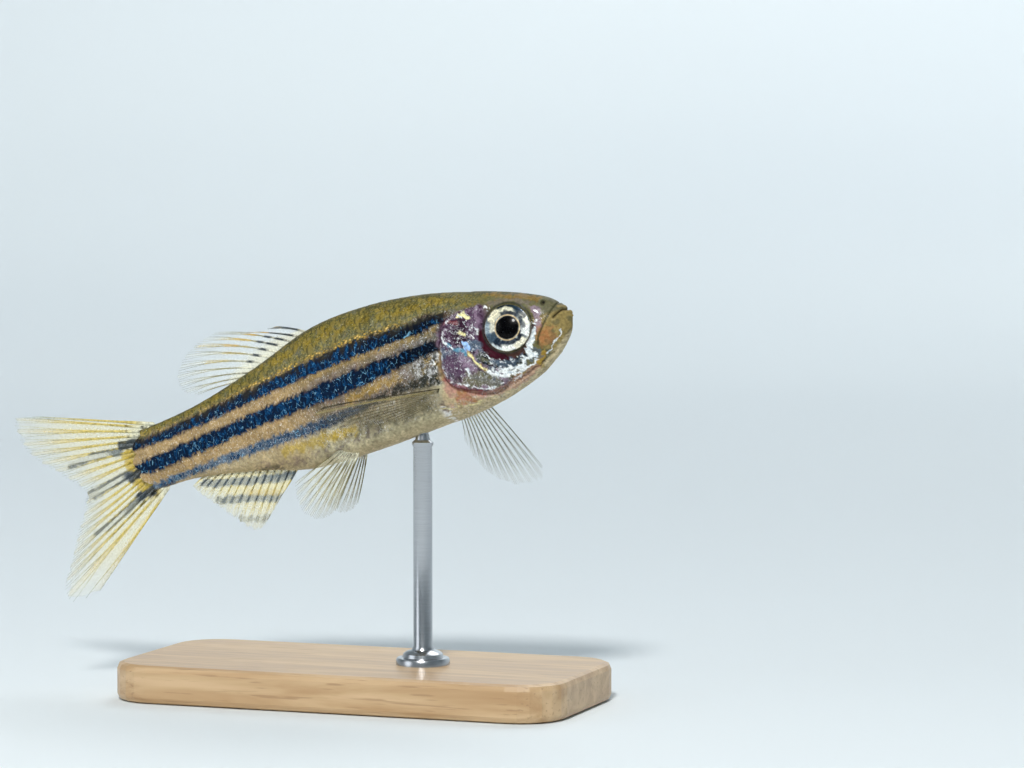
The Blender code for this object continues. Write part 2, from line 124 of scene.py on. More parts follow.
# Eye: centre, radius, distance of its rim from the middle plane and how that flat slopes, then the curve
# of its lens, its pupil, and the back of the ball as (radius, height)
EYE_AT = (12.35, 1.7)
EYE_RADIUS = 4.8
EYE_OUT = 4.95
EYE_SLOPE = 0.154
LENS_CURVE = 7.4
PUPIL_RADIUS = 2.35
EYE_BACK = ((1.4, -2.3), (3.0, -2.0), (4.1, -1.3), (4.6, -0.5))
IRIS_STEPS = 22
PUPIL_STEPS = 16
EYE_SIDES = 120

# Gill cover's hind margin as (direction in degrees, radius) round a centre
COVER_CENTRE = (18.2, -0.6)
COVER_EDGE = ((-125, 7.2), (-107.5, 8.2), (-88.7, 8.6), (-74.4, 8.8), (-54, 8.9), (-33, 9.9),
              (-16.8, 9.8), (-8, 9.3), (8.4, 8.7), (27.4, 8.8), (43.8, 9.4), (54.5, 9.6), (70, 9.4))

# Lines on the head as (back, up)
CLEFT = ((-0.6, 1.7), (0.9, 1.75), (1.5, 1.85), (2.1, 1.6), (3.2, 0.95))
MAXILLA = ((2.1, 3.6), (2.4, 3.3), (3.4, 2.3), (4.7, 0.9), (6.1, -0.8), (7.0, -1.9), (7.5, -3.2))
PREOPERCLE = ((22.6, 3.0), (21.6, 1.1), (21.2, -0.9), (20.5, -2.6), (19.8, -4.3), (19.0, -5.5),
              (17.0, -6.9))
BRANCHIOSTEGAL = ((24.6, -7.8), (23.0, -8.8), (20.5, -9.7), (15.5, -9.1), (12.0, -8.1), (8.5, -7.0),
                  (4.8, -5.3))
SHOULDER = ((28.7, 0.5), (29.4, -2.5), (29.6, -5.0), (28.6, -8.0), (26.5, -10.4))
NOSTRIL = (4.6, 4.4)

# Where the scales begin, as (up, back)
SCALED_FROM = ((-14, 31.5), (-9, 31.0), (-6.5, 29.0), (-3.5, 28.4), (0.7, 27.4), (3.6, 26.7), (6.2, 25.7),
               (8.0, 22.5), (9.5, 20.5), (12, 19.0), (16, 19.0))

# Grooves and ridges of the head as (height, half width, path, how far the path is moved back and up)
FOLDS = (
    (-0.42, 0.20, CLEFT, 0.0, 0.0),
    (0.20, 0.42, CLEFT, -0.15, 0.6),
    (0.22, 0.50, CLEFT, 0.1, -0.65),
    (-0.20, 0.17, MAXILLA, 0.0, 0.0),
    (0.12, 0.40, MAXILLA, -0.35, -0.35),
    (0.20, 0.28, PREOPERCLE, 0.0, 0.0),
    (-0.14, 0.25, PREOPERCLE, 0.55, -0.25),
    (-0.22, 0.20, BRANCHIOSTEGAL, 0.0, 0.0),
    (0.16, 0.55, SHOULDER, 0.0, 0.0),
)
THROAT_RAYS = 3

# Upper and lower edges of the stripes as (back, up)
STRIPES = (
    (((23.5, 8.7), (28, 9.3), (34, 9.0), (42, 9.2), (50, 8.9), (56, 8.4), (62, 7.8), (70, 7.0),
      (80, 5.9), (90, 4.9), (96, 4.5), (101, 4.4)),
     ((23.5, 6.9), (28, 6.3), (34, 6.0), (42, 5.8), (50, 5.6), (58, 5.0), (66, 4.5), (75, 3.6),
      (85, 2.8), (92, 2.3), (101, 2.2))),
    (((26.5, 3.8), (28, 4.2), (34, 3.8), (42, 3.7), (50, 3.3), (58, 2.5), (66, 2.2), (75, 1.5),
      (85, 0.7), (94, 0.2), (101, -0.7)),
     ((26.5, 2.2), (28, 1.5), (31, 1.3), (38, 0.6), (42, 0.1), (46, -0.4), (54, -0.8), (62, -1.0),
      (70, -1.3), (80, -2.0), (90, -2.7), (96, -3.1), (101, -2.9))),
    (((28, -2.7), (34, -2.3), (38, -2.3), (42, -3.0), (50, -3.6), (58, -3.9), (66, -4.1), (75, -4.3),
      (85, -4.7), (92, -5.1), (101, -5.6)),
     ((28, -4.8), (34, -4.3), (38, -4.2), (42, -4.7), (50, -5.4), (58, -6.2), (66, -6.2), (75, -6.2),
      (85, -6.2), (92, -6.5), (98, -7.0), (101, -7.3))),
)

# The fish's two sides: it swims to the right of the picture, so the right one is seen
SIDES = (("right", -1), ("left", 1))

# Fins, by place from the first ray at 0 to the last at 1, as in the solids. A tip is (place, back, up) and,
# where the fin stands away from the body, out. A base says what the body's outline doesn't: back alone, back
# and up, or for the pelvic fins back and out. A bulge says how far the rays bow upwards
DORSAL_BASE = ((0.0, 56.2), (1.0, 74.5))
DORSAL_TIP = ((0.0, 62.5, 17.4), (0.08, 68.5, 17.9), (0.18, 75.2, 20.2), (0.3, 78.8, 19.8),
              (0.42, 82.0, 18.7), (0.54, 84.8, 17.0), (0.66, 87.0, 14.8), (0.78, 87.3, 12.7),
              (0.89, 86.4, 10.7), (1.0, 83.6, 9.2))
DORSAL_BULGE = ((0.0, 0.3), (0.15, 0.5), (0.5, 0.9), (1.0, 0.2))
ANAL_BASE = ((0.0, 67.2), (1.0, 87.0))
ANAL_TIP = ((0.0, 73.0, -16.4), (0.08, 76.9, -19.9), (0.17, 79.5, -21.5), (0.27, 81.2, -20.7),
            (0.45, 83.8, -17.5), (0.65, 86.8, -14.0), (0.85, 89.6, -10.6), (1.0, 90.7, -8.5))
ANAL_BULGE = ((0.0, -0.2), (0.3, 0.3), (1.0, 0.2))
CAUDAL_TIP = ((0.0, 121.0, 16.0), (0.06, 126.3, 17.0), (0.14, 126.3, 12.6), (0.24, 124.3, 7.8),
              (0.36, 118.9, 2.4), (0.48, 114.8, -2.3), (0.56, 115.6, -4.9), (0.68, 119.2, -9.9),
              (0.8, 123.0, -15.2), (0.92, 126.0, -20.6), (0.97, 125.0, -24.0), (1.0, 118.6, -23.4))
CAUDAL_BULGE = ((0.0, 0.0), (0.4, 0.1), (0.6, -0.4), (1.0, 0.0))
CAUDAL_ROOT = ((0.0, 94.6, 6.3), (0.12, 97.2, 5.3), (0.3, 99.0, 2.8), (0.5, 100.0, -0.3),
               (0.7, 99.1, -3.4), (0.88, 97.6, -5.9), (1.0, 95.6, -6.8))
FOLDED_BASE = ((0.0, 29.4, -5.6), (1.0, 31.6, -8.3))
FOLDED_TIP = ((0.0, 54.5, -1.5), (0.14, 57.3, -2.6), (0.3, 57.0, -4.4), (0.5, 54.0, -6.5),
              (0.75, 47.0, -8.6), (1.0, 39.5, -9.6))
FOLDED_LIFT = 0.9
SPREAD_BASE = ((0.0, 27.9, -5.8), (1.0, 31.4, -8.8))
SPREAD_TIP = ((0.0, 22.6, -26.8, 19.0), (0.12, 23.6, -29.0, 18.8), (0.35, 27.2, -29.0, 17.6),
              (0.55, 30.2, -27.6, 16.6), (0.75, 33.0, -24.8, 15.6), (0.9, 34.8, -20.8, 14.8),
              (1.0, 35.6, -16.6, 14.2))
PELVIC_BASE = ((0.0, 52.0, 2.2), (1.0, 55.2, 3.6))
PELVIC_TIP = ((0.0, 59.0, -22.3, 5.6), (0.15, 61.0, -23.2, 6.0), (0.4, 64.0, -23.0, 6.2),
              (0.65, 66.2, -20.6, 6.0), (0.85, 66.8, -17.4, 5.6), (1.0, 66.4, -14.6, 5.0))
RAY_SAMPLES = 44
RAY_SIDES = 6
RAY_SEGMENT = 0.9
FORK_SPREAD = (0.26, 0.13)
OUTER_RAY = 1.3
WEB_ROWS = 40
WEB_PER_RAY = 8
WEB_HALF = 0.03
WEB_BILLOW = 0.12

# Stand, in metres: the rod's foot stands on the base, and its head reaches up to the belly, both as
# (radius, height)
BASE_HEIGHT = 0.0024
ROD_RADIUS = 0.0006
ROD_SIDES = 48
ROD_SINK = 0.0001
ROD_FOOT = ((0.0017, 0.0), (0.0017, 0.0004), (0.00162, 0.00052), (0.0013, 0.00056), (0.00124, 0.00078),
            (0.00105, 0.00092), (0.00072, 0.00102), (ROD_RADIUS, 0.00125))
ROD_HEAD = ((ROD_RADIUS, -0.00075), (0.00068, -0.0006), (0.00068, -0.00045), (0.00048, -0.0003),
            (0.00036, 0.0002))

# Camera: it looks at a point of the middle plane from the fish's right, a little ahead and above
CAMERA_TARGET = (0.00996, 0.0, 0.0202)
CAMERA_AROUND = math.radians(20.0)
CAMERA_ABOVE = math.radians(4.0)
CAMERA_DISTANCE = 0.25
VIEW_WIDTH = 0.0636
SENSOR = 36.0

# Studio, in metres: a floor that curves up into a bowl, and lamps as (name, place, aim, size, power, colour)
FLOOR_RADIUS = 0.32
BOWL_RADIUS = 1.3
BOWL_HEIGHT = 1.1
BOWL_RIM = 0.4
BOWL_STEPS = 24
BOWL_SIDES = 96
LAMPS = (
    ("key", (0.066, -0.313, 0.300), (0.0, 0.0, 0.02), 0.06, 1.4, (1.0, 0.99, 0.97)),
    ("fill", (-0.35, -0.32, 0.16), (0.0, 0.0, 0.02), 0.30, 0.35, (0.94, 0.97, 1.0)),
    ("sky", (0.0, 0.70, 0.70), (0.0, 0.80, 0.0), 0.80, 4.8, (0.97, 0.99, 1.0)),
)
WORLD_COLOUR = (0.88, 0.94, 1.0, 1.0)
WORLD_STRENGTH = 0.55


def shade(red, green, blue):
    """A colour given as it looks on a screen, from 0 to 255, as linear light."""
    return tuple(((value / 255 + 0.055) / 1.055) ** 2.4 if value > 10 else value / 3295
                 for value in (red, green, blue))


# Colours of the skin
OLIVE = shade(106, 101, 57)
OLIVE_DARK = shade(58, 60, 40)
OLIVE_GREY = shade(106, 104, 76)
TAN_BELLY = shade(184, 163, 122)
GOLD_OLIVE = shade(138, 116, 38)
NAVY = shade(5, 14, 28)
NAVY_REAR = shade(6, 26, 50)
STRIPE_BROWN = shade(36, 34, 32)
BORDER_BROWN = shade(74, 50, 44)
TAN = shade(161, 137, 96)
TAN_PALE = shade(112, 101, 80)
MAUVE_TAN = shade(114, 103, 98)
GOLD = shade(172, 140, 62)
YELLOW = shade(186, 160, 72)
SILVER_GREY = shade(116, 116, 110)
BELLY = shade(197, 188, 154)
BELLY_SHADE = shade(136, 127, 103)
WHITE = shade(246, 249, 248)
STEEL_BLUE = shade(84, 100, 118)
PALE_STRIPE = shade(102, 125, 146)
PURPLE = shade(84, 62, 84)
PURPLE_DARK = shade(46, 22, 40)
MAUVE = shade(144, 122, 142)
GREY_MAUVE = shade(110, 98, 110)
MAROON = shade(58, 14, 28)
PINK = shade(176, 134, 118)
ORANGE = shade(170, 110, 68)
CHIN = shade(190, 176, 142)
CROWN = shade(106, 101, 66)
CROWN_GOLD = shade(152, 116, 52)
SNOUT_GREY = shade(102, 98, 74)
JAW_GOLD = shade(146, 128, 80)
CHEEK_DARK = shade(66, 72, 62)
CREAM = shade(240, 232, 170)
SILVER_BLUE = shade(176, 190, 202)
TEAL = shade(84, 142, 168)
PALE_BLUE = shade(156, 192, 240)
GILL_RED = shade(146, 70, 70)
BLACK = shade(8, 8, 10)
FLESH = shade(168, 154, 124)
# Painted shade in the crease round the eye, where it sits in its socket
EYE_SOCKET_SHADE = shade(38, 42, 36)

# Colours of the fins
RAY_INK = shade(46, 58, 68)
WEB_INK = shade(84, 100, 112)
FIN_YELLOW = shade(214, 190, 108)
FIN_CREAM = shade(238, 228, 176)
FIN_PALE = shade(224, 222, 196)
FIN_CLEAR = shade(228, 234, 230)
FIN_WHITE = shade(242, 240, 218)
FIN_GOLD = shade(204, 178, 74)
FIN_ORANGE = shade(214, 170, 70)
RAY_OLIVE = shade(150, 144, 104)
RAY_GREY = shade(146, 150, 136)
RAY_GOLD = shade(208, 192, 122)
RAY_YELLOW = shade(210, 190, 108)
RAY_PALE = shade(188, 196, 186)
WEB_YELLOW = shade(232, 213, 146)
FOLDED_RAY = shade(76, 68, 44)
FOLDED_RAY_TIP = shade(92, 84, 58)
FOLDED_WEB = shade(104, 96, 62)
FOLDED_CLEAR = shade(116, 108, 74)
SPREAD_RAY = shade(132, 134, 112)
SPREAD_RAY_TIP = shade(164, 166, 148)
PELVIC_RAY = shade(124, 118, 80)
PELVIC_RAY_TIP = shade(118, 118, 98)
# Painted shadow at the folded fin's root, its dark leading edge, and a painted highlight along that edge
FOLD_SHADOW = shade(44, 34, 26)
FOLD_DARK = shade(52, 44, 30)
FOLD_HIGHLIGHT = shade(176, 158, 104)

# Colours of the eye
IRIS_BRIGHT = shade(170, 178, 176)
IRIS_DULL = shade(86, 100, 110)
IRIS_BRONZE = shade(120, 112, 80)
IRIS_EDGE = shade(38, 38, 32)
IRIS_RING = shade(232, 204, 156)
PUPIL = (0.001, 0.001, 0.0015)

# Colours laid over the skin's paint by its material, as linear light; the azure flash, copper glint, glint
# and squiggle, and bead highlight are painted glints and highlights
DEEP_BLUE = (0.002, 0.033, 0.098)
AZURE_CORE = (0.010, 0.105, 0.28)
AZURE_THREAD = (0.22, 0.48, 0.68)
AZURE_FLASH = (0.45, 0.62, 0.78)
AZURE_VEE = (0.08, 0.26, 0.46)
COPPER_LIGHT = (0.66, 0.56, 0.48)
COPPER_DARK = (0.32, 0.17, 0.08)
COPPER_GLINT = (0.82, 0.80, 0.74)
OLIVE_FLECK = (0.34, 0.27, 0.06)
OLIVE_PIT = (0.035, 0.04, 0.02)
OLIVE_SPECK = (0.60, 0.60, 0.42)
OLIVE_PATCH = (0.30, 0.22, 0.045)
OLIVE_RIM = (0.045, 0.045, 0.022)
GLITTER_DARK = (0.03, 0.02, 0.03)
GLINT_AND_SQUIGGLE = (0.78, 0.80, 0.82)
BEAD_GOLD = (0.50, 0.31, 0.05)
BEAD_HIGHLIGHT = (0.86, 0.68, 0.30)

# What the skin's material is told about each place, besides its colour
MASKS = ("dark", "azure", "copper", "olive", "silver", "sparkle", "bead")

# Marks painted on the trunk, and lines of the head that its colours follow
GOLD_UNDER_TWO = ((37, -0.9), (43, -1.3), (49, -2.0))
YELLOW_FLANK = ((50.5, -8.0), (55, -8.2), (60, -8.0), (67, -7.6))
YELLOW_FRONT = ((52.0, -7.9), (56.6, -7.8), (57, -6.6))
FOURTH_STRIPE = ((46, -10.0), (54, -10.5), (62, -10.6), (69, -10.0), (74, -9.2))
FOURTH_END = ((70, -10.6), (76, -9.3))
FACE_TOP = ((0, 3), (6, 4.4), (10, 6.6), (16, 7.6), (22, 8.0), (26, 7.6))
CHIN_LINE = ((0, -1.6), (5, -5.1), (8, -6.8), (12, -8.2), (16, -9.3), (20.5, -10.0), (24, -10.4),
             (31, -10.9))
SILVER_HOLES = ((17.2, -5.0), (15.9, -4.6), (14.6, -5.2), (12.6, -5.4), (11.2, -4.8))
BLUE_UNDER_EYE = ((17.7, -5.7), (13.4, -5.6), (9, -5.0))

# Marks painted on the head one over another, as (colour, half width, strength, how torn, path);
# each path is a row of (back, up) places
HEAD_MARKS = (
    (CROWN_GOLD, 0.4, 0.5, 1.2, ((15.5, 9.6), (10.8, 7.7), (7.5, 6.4), (5.3, 5.5))),
    (MAUVE, 0.4, 0.2, 1.2, ((14.8, 7.5), (10.8, 7.0), (7.9, 5.4), (6.5, 3.9))),
    (PURPLE, 1.0, 0.8, 0.4, ((18.0, 7.0), (18.4, 5.0), (18.6, 2.9))),
    (MAUVE, 0.45, 0.6, 0.9, ((17.6, 6.8), (18.0, 5.2), (18.2, 3.4))),
    (PURPLE_DARK, 0.9, 0.9, 0.5, ((22.8, 6.0), (21.1, 5.3), (22.7, 3.4), (21.9, 1.4))),
    (PURPLE_DARK, 0.5, 0.9, 0.6, ((20.6, 1.6), (19.9, 0.6))),
    (GILL_RED, 0.3, 0.5, 0.7, ((25.0, 6.4), (23.6, 6.6), (22.0, 5.8))),
    (MAUVE, 0.8, 0.7, 0.5, ((6.3, 3.4), (5.9, 2.2), (6.4, 0.6), (7.1, -0.3))),
    (MAROON, 0.5, 0.7, 0.5, ((7.6, 0.4), (8.8, -1.9), (10.6, -3.4))),
    (CHEEK_DARK, 1.0, 0.9, 0.5, ((19.0, -2.2), (17.6, -3.0), (16.2, -4.2), (14.0, -4.9))),
    (OLIVE_GREY, 0.35, 0.7, 0.9, ((18.8, -3.0), (17.2, -4.0))),
    (BLACK, 0.6, 0.95, 1.4, ((18.2, -2.4), (16.6, -3.9), (15.0, -4.6), (13.2, -4.9), (11.2, -4.5))),
    (BLACK, 0.35, 0.9, 1.6, ((18.6, -3.6), (17.4, -4.8), (15.6, -5.4), (13.0, -5.4))),
    (STEEL_BLUE, 0.3, 0.8, 1.6, ((17.6, -3.2), (16.0, -4.2), (14.0, -4.9))),
    (STEEL_BLUE, 0.75, 0.9, 0.6, ((20.4, 0.8), (18.8, 0.2), (18.1, -0.9))),
    (STEEL_BLUE, 1.0, 0.7, 0.6, ((26.0, 0.8), (24.6, 0.0), (23.4, -0.8))),
    (PURPLE, 1.6, 0.9, 0.4, ((25.3, -1.3), (24.1, -2.8), (23.0, -3.8))),
    (MAUVE, 1.0, 0.7, 0.6, ((22.4, -1.6), (21.6, -3.6))),
    (OLIVE_GREY, 1.3, 0.8, 0.6, ((23.0, -6.0), (21.0, -6.4), (18.6, -7.9))),
    (SILVER_GREY, 0.5, 0.8, 1.0, ((22.4, -5.6), (20.3, -6.7), (18.0, -8.2))),
    (ORANGE, 1.15, 0.4, 0.7, ((6.2, -1.0), (5.0, -1.3), (5.0, -2.8), (6.4, -2.9))),
    (ORANGE, 0.6, 0.55, 0.7, ((6.0, -1.3), (5.2, -1.7), (5.4, -2.5), (6.2, -2.6))),
    (JAW_GOLD, 0.25, 0.8, 0.4, ((2.0, 2.9), (1.4, 2.4), (0.7, 2.2))),
    (JAW_GOLD, 0.5, 0.8, 0.7, ((8.8, -7.2), (10.8, -7.0), (13.0, -7.6))),
    (GOLD, 0.4, 0.9, 0.8, ((9.2, -6.6), (8.0, -6.0), (7.0, -5.0))),
    (MAROON, 0.95, 1.0, 0.35, ((17.7, 2.0), (17.3, -0.9), (16.0, -2.9), (13.6, -3.7))),
    (BORDER_BROWN, 0.6, 1.0, 0.4, ((13.6, -3.7), (12.0, -3.7), (10.4, -3.3), (8.8, -1.8))),
    (PINK, 0.9, 0.8, 0.5, ((28.2, -2.4), (28.4, -4.8), (27.6, -6.6))),
    (TAN, 0.8, 0.9, 0.5, ((27.4, 1.0), (28.1, -1.6), (28.3, -3.6), (29.4, -4.8))),
    (ORANGE, 0.9, 0.5, 1.3, ((26.1, -8.7), (24.6, -9.3))),
    (GILL_RED, 0.5, 0.55, 1.0, ((27.5, -4.4), (26.2, -6.1), (23.8, -7.9), (21.6, -9.0))),
    (PINK, 0.7, 0.6, 0.8, ((21.0, -9.7), (18.6, -9.7), (15.2, -9.1), (12.0, -8.1), (10.1, -7.4))),
    (BORDER_BROWN, 0.13, 0.6, 0.9, ((21.5, -9.5), (19.4, -9.8), (15.2, -9.0), (12.0, -8.0), (8.0, -6.9))),
    (CREAM, 0.12, 0.5, 1.5, ((31.1, -9.5), (29.2, -10.1), (27.4, -10.2), (25.1, -10.5), (22.8, -10.4))),
    (WHITE, 0.9, 0.7, 1.6, ((33.0, -9.4), (31.8, -10.6), (30.4, -11.6))),
    (TEAL, 0.3, 0.9, 0.8, ((24.8, 2.4), (23.9, 0.9), (22.3, 0.0), (21.8, -0.8))),
    (PALE_BLUE, 0.5, 1.0, 0.8, ((21.3, 1.1), (21.1, 0.2), (21.2, -0.3))),
    (CREAM, 0.45, 1.0, 0.8, ((21.2, 7.0), (20.4, 6.9), (19.7, 6.1))),
    (CREAM, 0.3, 0.8, 1.0, ((21.8, 3.7), (20.9, 3.1))),
    (GOLD, 0.34, 0.9, 0.5, ((21.3, -0.7), (20.6, -2.5), (19.8, -4.2), (19.0, -5.4))),
    (CREAM, 0.2, 1.0, 0.5, ((21.2, -1.0), (20.5, -2.6), (19.6, -4.4), (18.6, -5.8))),
)

# Markings of the fins as (path, half width, strength, colour)
DORSAL_BANDS = (
    (((62, 16.9), (66, 17.5), (70, 17.2), (74, 16.6)), 0.8, 0.7, FIN_ORANGE),
    (((70, 15.0), (74.5, 14.8), (79, 14.6)), 0.9, 0.5, FIN_YELLOW),
    (((69, 17.0), (75, 17.9), (80, 18.2)), 0.8, 0.45, FIN_YELLOW),
    (((58.3, 15.3), (60.6, 14.9), (63.0, 14.5), (65.5, 14.1), (67.8, 13.4), (70.0, 12.3)), 0.72, 0.95,
     RAY_INK),
    (((59.4, 16.3), (61.6, 16.2), (64.6, 15.9), (67.0, 15.4)), 0.5, 0.95, RAY_INK),
    (((60.4, 16.8), (63.5, 17.2), (66.2, 17.6)), 0.26, 0.9, RAY_INK),
)
ANAL_BANDS = (
    (((68.0, -12.8), (75, -11.6), (81, -10.3), (88, -8.6)), 0.85, 0.95, WEB_INK),
    (((71.5, -16.6), (76, -15.3), (80, -14.2), (86.0, -12.9)), 0.8, 0.9, WEB_INK),
    (((76.5, -19.4), (79.5, -18.9), (82.5, -17.8)), 0.7, 0.6, WEB_INK),
    (((73, -15.0), (79, -13.2)), 0.6, 0.7, FIN_YELLOW),
)
CAUDAL_BANDS = (
    (((102.4, 1.8), (102.3, 0.0), (102.1, -1.8), (101.4, -4.2), (100.0, -5.8)), 2.1, 0.95, FIN_GOLD),
    (((104.5, 3.2), (107.5, 3.8), (111.3, 3.9), (116.0, 3.6)), 0.8, 0.85, WEB_INK),
    (((104.0, -1.9), (108.7, -2.6), (114.7, -3.7)), 1.0, 0.85, WEB_INK),
    (((102.1, -6.9), (106.0, -8.6), (110.0, -10.2), (115.0, -11.4)), 0.8, 0.8, WEB_INK),
    (((100.0, 3.9), (103.6, 4.1)), 1.0, 0.95, RAY_INK),
    (((101.4, -2.2), (103.8, -2.6)), 1.15, 0.95, RAY_INK),
    (((99.6, -6.7), (102.8, -7.1)), 0.95, 0.95, RAY_INK),
)
# On the folded pectoral fin: a painted shadow at its root, its dark leading edge and a painted highlight
# along that edge
FOLDED_BANDS = (
    (((29.2, -5.8), (29.8, -5.9)), 0.5, 0.9, FOLD_SHADOW),
    (((28.8, -5.7), (37, -4.3), (46, -2.9), (56, -1.9)), 0.2, 0.9, FOLD_DARK),
    (((31, -5.9), (39, -4.6), (48, -3.4), (57, -2.6)), 0.22, 0.6, FOLD_HIGHLIGHT),
)

# Patches of the iris as (middle direction, half spread, inner and outer share, colour, strength)
IRIS_PATCHES = (
    (72, 58, 0.74, 1.1, (14, 34, 46), 1.0),
    (76, 36, 0.5, 0.74, (226, 222, 196), 0.95),
    (70, 38, 0.14, 0.46, (50, 54, 60), 0.9),
    (128, 22, 0.2, 0.85, (238, 230, 200), 1.0),
    (165, 16, 0.1, 0.55, (228, 226, 208), 0.9),
    (170, 24, 0.55, 0.95, (146, 162, 172), 0.9),
    (-160, 20, 0.2, 0.9, (66, 84, 100), 0.95),
    (-132, 22, 0.2, 0.75, (30, 42, 58), 0.95),
    (-126, 28, 0.78, 0.97, (214, 222, 224), 0.9),
    (-95, 28, 0.5, 0.94, (246, 246, 238), 1.0),
    (-95, 20, 0.12, 0.44, (40, 48, 60), 0.9),
    (-62, 22, 0.55, 0.92, (244, 238, 214), 1.0),
    (-50, 26, 0.12, 0.5, (28, 34, 48), 0.95),
    (-20, 22, 0.3, 0.92, (244, 246, 242), 1.0),
    (4, 16, 0.12, 0.46, (60, 66, 74), 0.8),
    (12, 16, 0.48, 0.88, (240, 238, 220), 0.95),
    (34, 20, 0.5, 0.98, (22, 34, 48), 0.9),
)

# Silvery marks on the head, as (half width, strength, how torn, path)
SILVER_MARKS = (
    (0.5, 1.0, 1.3, ((17.7, -5.9), (15.5, -6.1), (13.4, -5.9), (11.1, -5.3), (9.0, -5.1))),
    (0.45, 1.0, 1.2, ((18.6, -5.8), (16.8, -6.9), (14.2, -6.9), (12.0, -6.4))),
    (0.2, 1.0, 1.2, ((18.8, -5.8), (16.8, -7.3), (14.2, -7.4), (10.6, -6.8), (8.8, -6.2))),
    (0.42, 1.0, 1.3, ((7.2, 0.0), (7.8, -1.2), (8.6, -2.4), (9.6, -3.9), (9.0, -5.0))),
    (0.1, 1.0, 1.8, ((17.9, -2.2), (16.8, -3.3), (15.9, -3.7), (14.6, -4.4), (13.0, -4.6), (11.6, -4.2))),
    (0.1, 0.9, 1.8, ((17.6, -4.0), (16.2, -4.6), (15.4, -4.5), (14.4, -5.2), (12.6, -4.9))),
    (0.11, 0.75, 1.3, ((2.6, -1.6), (3.4, -2.8), (5.3, -4.4), (7.0, -5.6))),
    (0.2, 1.0, 1.4, ((6.4, 3.4), (5.8, 2.6))),
    (0.2, 1.0, 1.4, ((6.2, 1.6), (6.9, 0.9))),
    (0.34, 1.0, 1.5, ((15.9, 7.1), (15.2, 6.8))),
    (0.09, 0.9, 1.8, ((24.4, 6.4), (23.1, 7.1), (21.7, 7.5), (20.8, 6.4), (20.1, 3.7), (20.7, 2.6))),
    (0.09, 0.9, 1.8, ((19.7, 3.7), (18.8, 3.8), (18.4, 2.9), (18.6, 1.9), (19.4, 1.8), (19.8, 2.6))),
    (0.2, 1.0, 1.6, ((24.3, 5.2), (23.8, 5.0))),
    (0.2, 1.0, 1.6, ((25.5, 2.9), (25.1, 2.6))),
    (0.12, 1.0, 1.6, ((22.3, 2.8), (22.5, 1.6))),
    (0.09, 0.9, 1.8, ((24.8, 5.6), (25.5, 3.6), (25.0, 2.2), (24.0, 1.0))),
    (0.16, 0.9, 1.8, ((26.4, -5.2), (25.2, -6.1), (23.4, -7.1), (21.8, -8.2), (19.4, -8.8), (17.0, -8.3))),
    (0.16, 0.9, 1.6, ((22.8, -3.7), (22.7, -4.9))),
    (0.1, 0.5, 1.8, ((26.2, 2.8), (26.6, 0.4), (27.1, -2.2), (27.1, -3.8))),
    (0.14, 0.8, 1.6, ((13.0, -7.9), (15.0, -8.6))),
)


def curve(knots, x):
    """Smooth curve through (x, value) knots, for an array of places."""
    table = np.array(knots, float)
    at, value = table[:, 0], table[:, 1]
    x = np.clip(np.asarray(x, float), at[0], at[-1])
    order = np.arange(len(at))
    low, high = np.maximum(order - 1, 0), np.minimum(order + 1, len(at) - 1)
    slope = (value[high] - value[low]) / (at[high] - at[low])
    here = np.clip(np.searchsorted(at, x) - 1, 0, len(at) - 2)
    after = here + 1
    span = at[after] - at[here]
    share = (x - at[here]) / span
    square, cube = share ** 2, share ** 3
    return (value[here] * (2 * cube - 3 * square + 1) + slope[here] * span * (cube - 2 * square + share)
            + value[after] * (3 * square - 2 * cube) + slope[after] * span * (cube - square))


def body_line(knots, back):
    """Body outline at stations; working in square roots rounds the snout."""
    rooted = [(math.sqrt(x), value) for x, value in knots]
    return curve(rooted, np.sqrt(np.maximum(back, 0.0)))


def column(knots, index):
    return [(row[0], row[index]) for row in knots]


def together(*parts):
    """Numbers or arrays side by side, as the last axis of one array."""
    return np.stack(np.broadcast_arrays(*parts), -1)


def fish_to_world(back, out, up):
    """A step in the fish's frame, in metres along the shared axes."""
    forward = -back * math.cos(HEAD_UP) - up * math.sin(HEAD_UP)
    rise = -back * math.sin(HEAD_UP) + up * math.cos(HEAD_UP)
    return together(forward, out, rise) * PERCENT


SNOUT = np.array([ROD_AHEAD, 0.0, SNOUT_HEIGHT])
SNOUT[0] -= fish_to_world(ROD_STATION, 0.0, body_line(BELLY_LINE, ROD_STATION))[0]


def place(back, out, up):
    """Places of the fish's frame, in metres in the shared frame."""
    return SNOUT + fish_to_world(np.asarray(back, float), np.asarray(out, float), np.asarray(up, float))


def half_section(back, above):
    """Height of the widest place, and the reach and fullness of the half above or below it."""
    middle = body_line(WIDEST_AT, back)
    reach = np.where(above, body_line(BACK_LINE, back) - middle, middle - body_line(BELLY_LINE, back))
    return middle, reach, np.where(above, UPPER_FULLNESS, body_line(LOWER_FULLNESS, back))


def section(back, angle):
    """(up, out) of the body's outline; the angle runs from the back down the left side."""
    rise, side = np.cos(angle), np.sin(angle)
    middle, reach, fullness = half_section(back, rise >= 0.0)
    up = middle + np.sign(rise) * np.abs(rise) ** (2.0 / fullness) * reach
    out = np.sign(side) * np.abs(side) ** (2.0 / fullness) * body_line(HALF_WIDTH, back)
    return up, out


def flank(back, up):
    """Half width of the body at a station and a height."""
    middle, reach, fullness = half_section(back, up >= body_line(WIDEST_AT, back))
    share = np.minimum(np.abs(up - middle) / reach, 1.0)
    return body_line(HALF_WIDTH, back) * (1.0 - share ** fullness) ** (1.0 / fullness)


def underside(back, out):
    """Height of the belly's skin at a station and a distance from the middle plane."""
    middle, reach, fullness = half_section(back, False)
    share = np.minimum(np.abs(out) / body_line(HALF_WIDTH, back), 1.0)
    return middle - reach * (1.0 - share ** fullness) ** (1.0 / fullness)


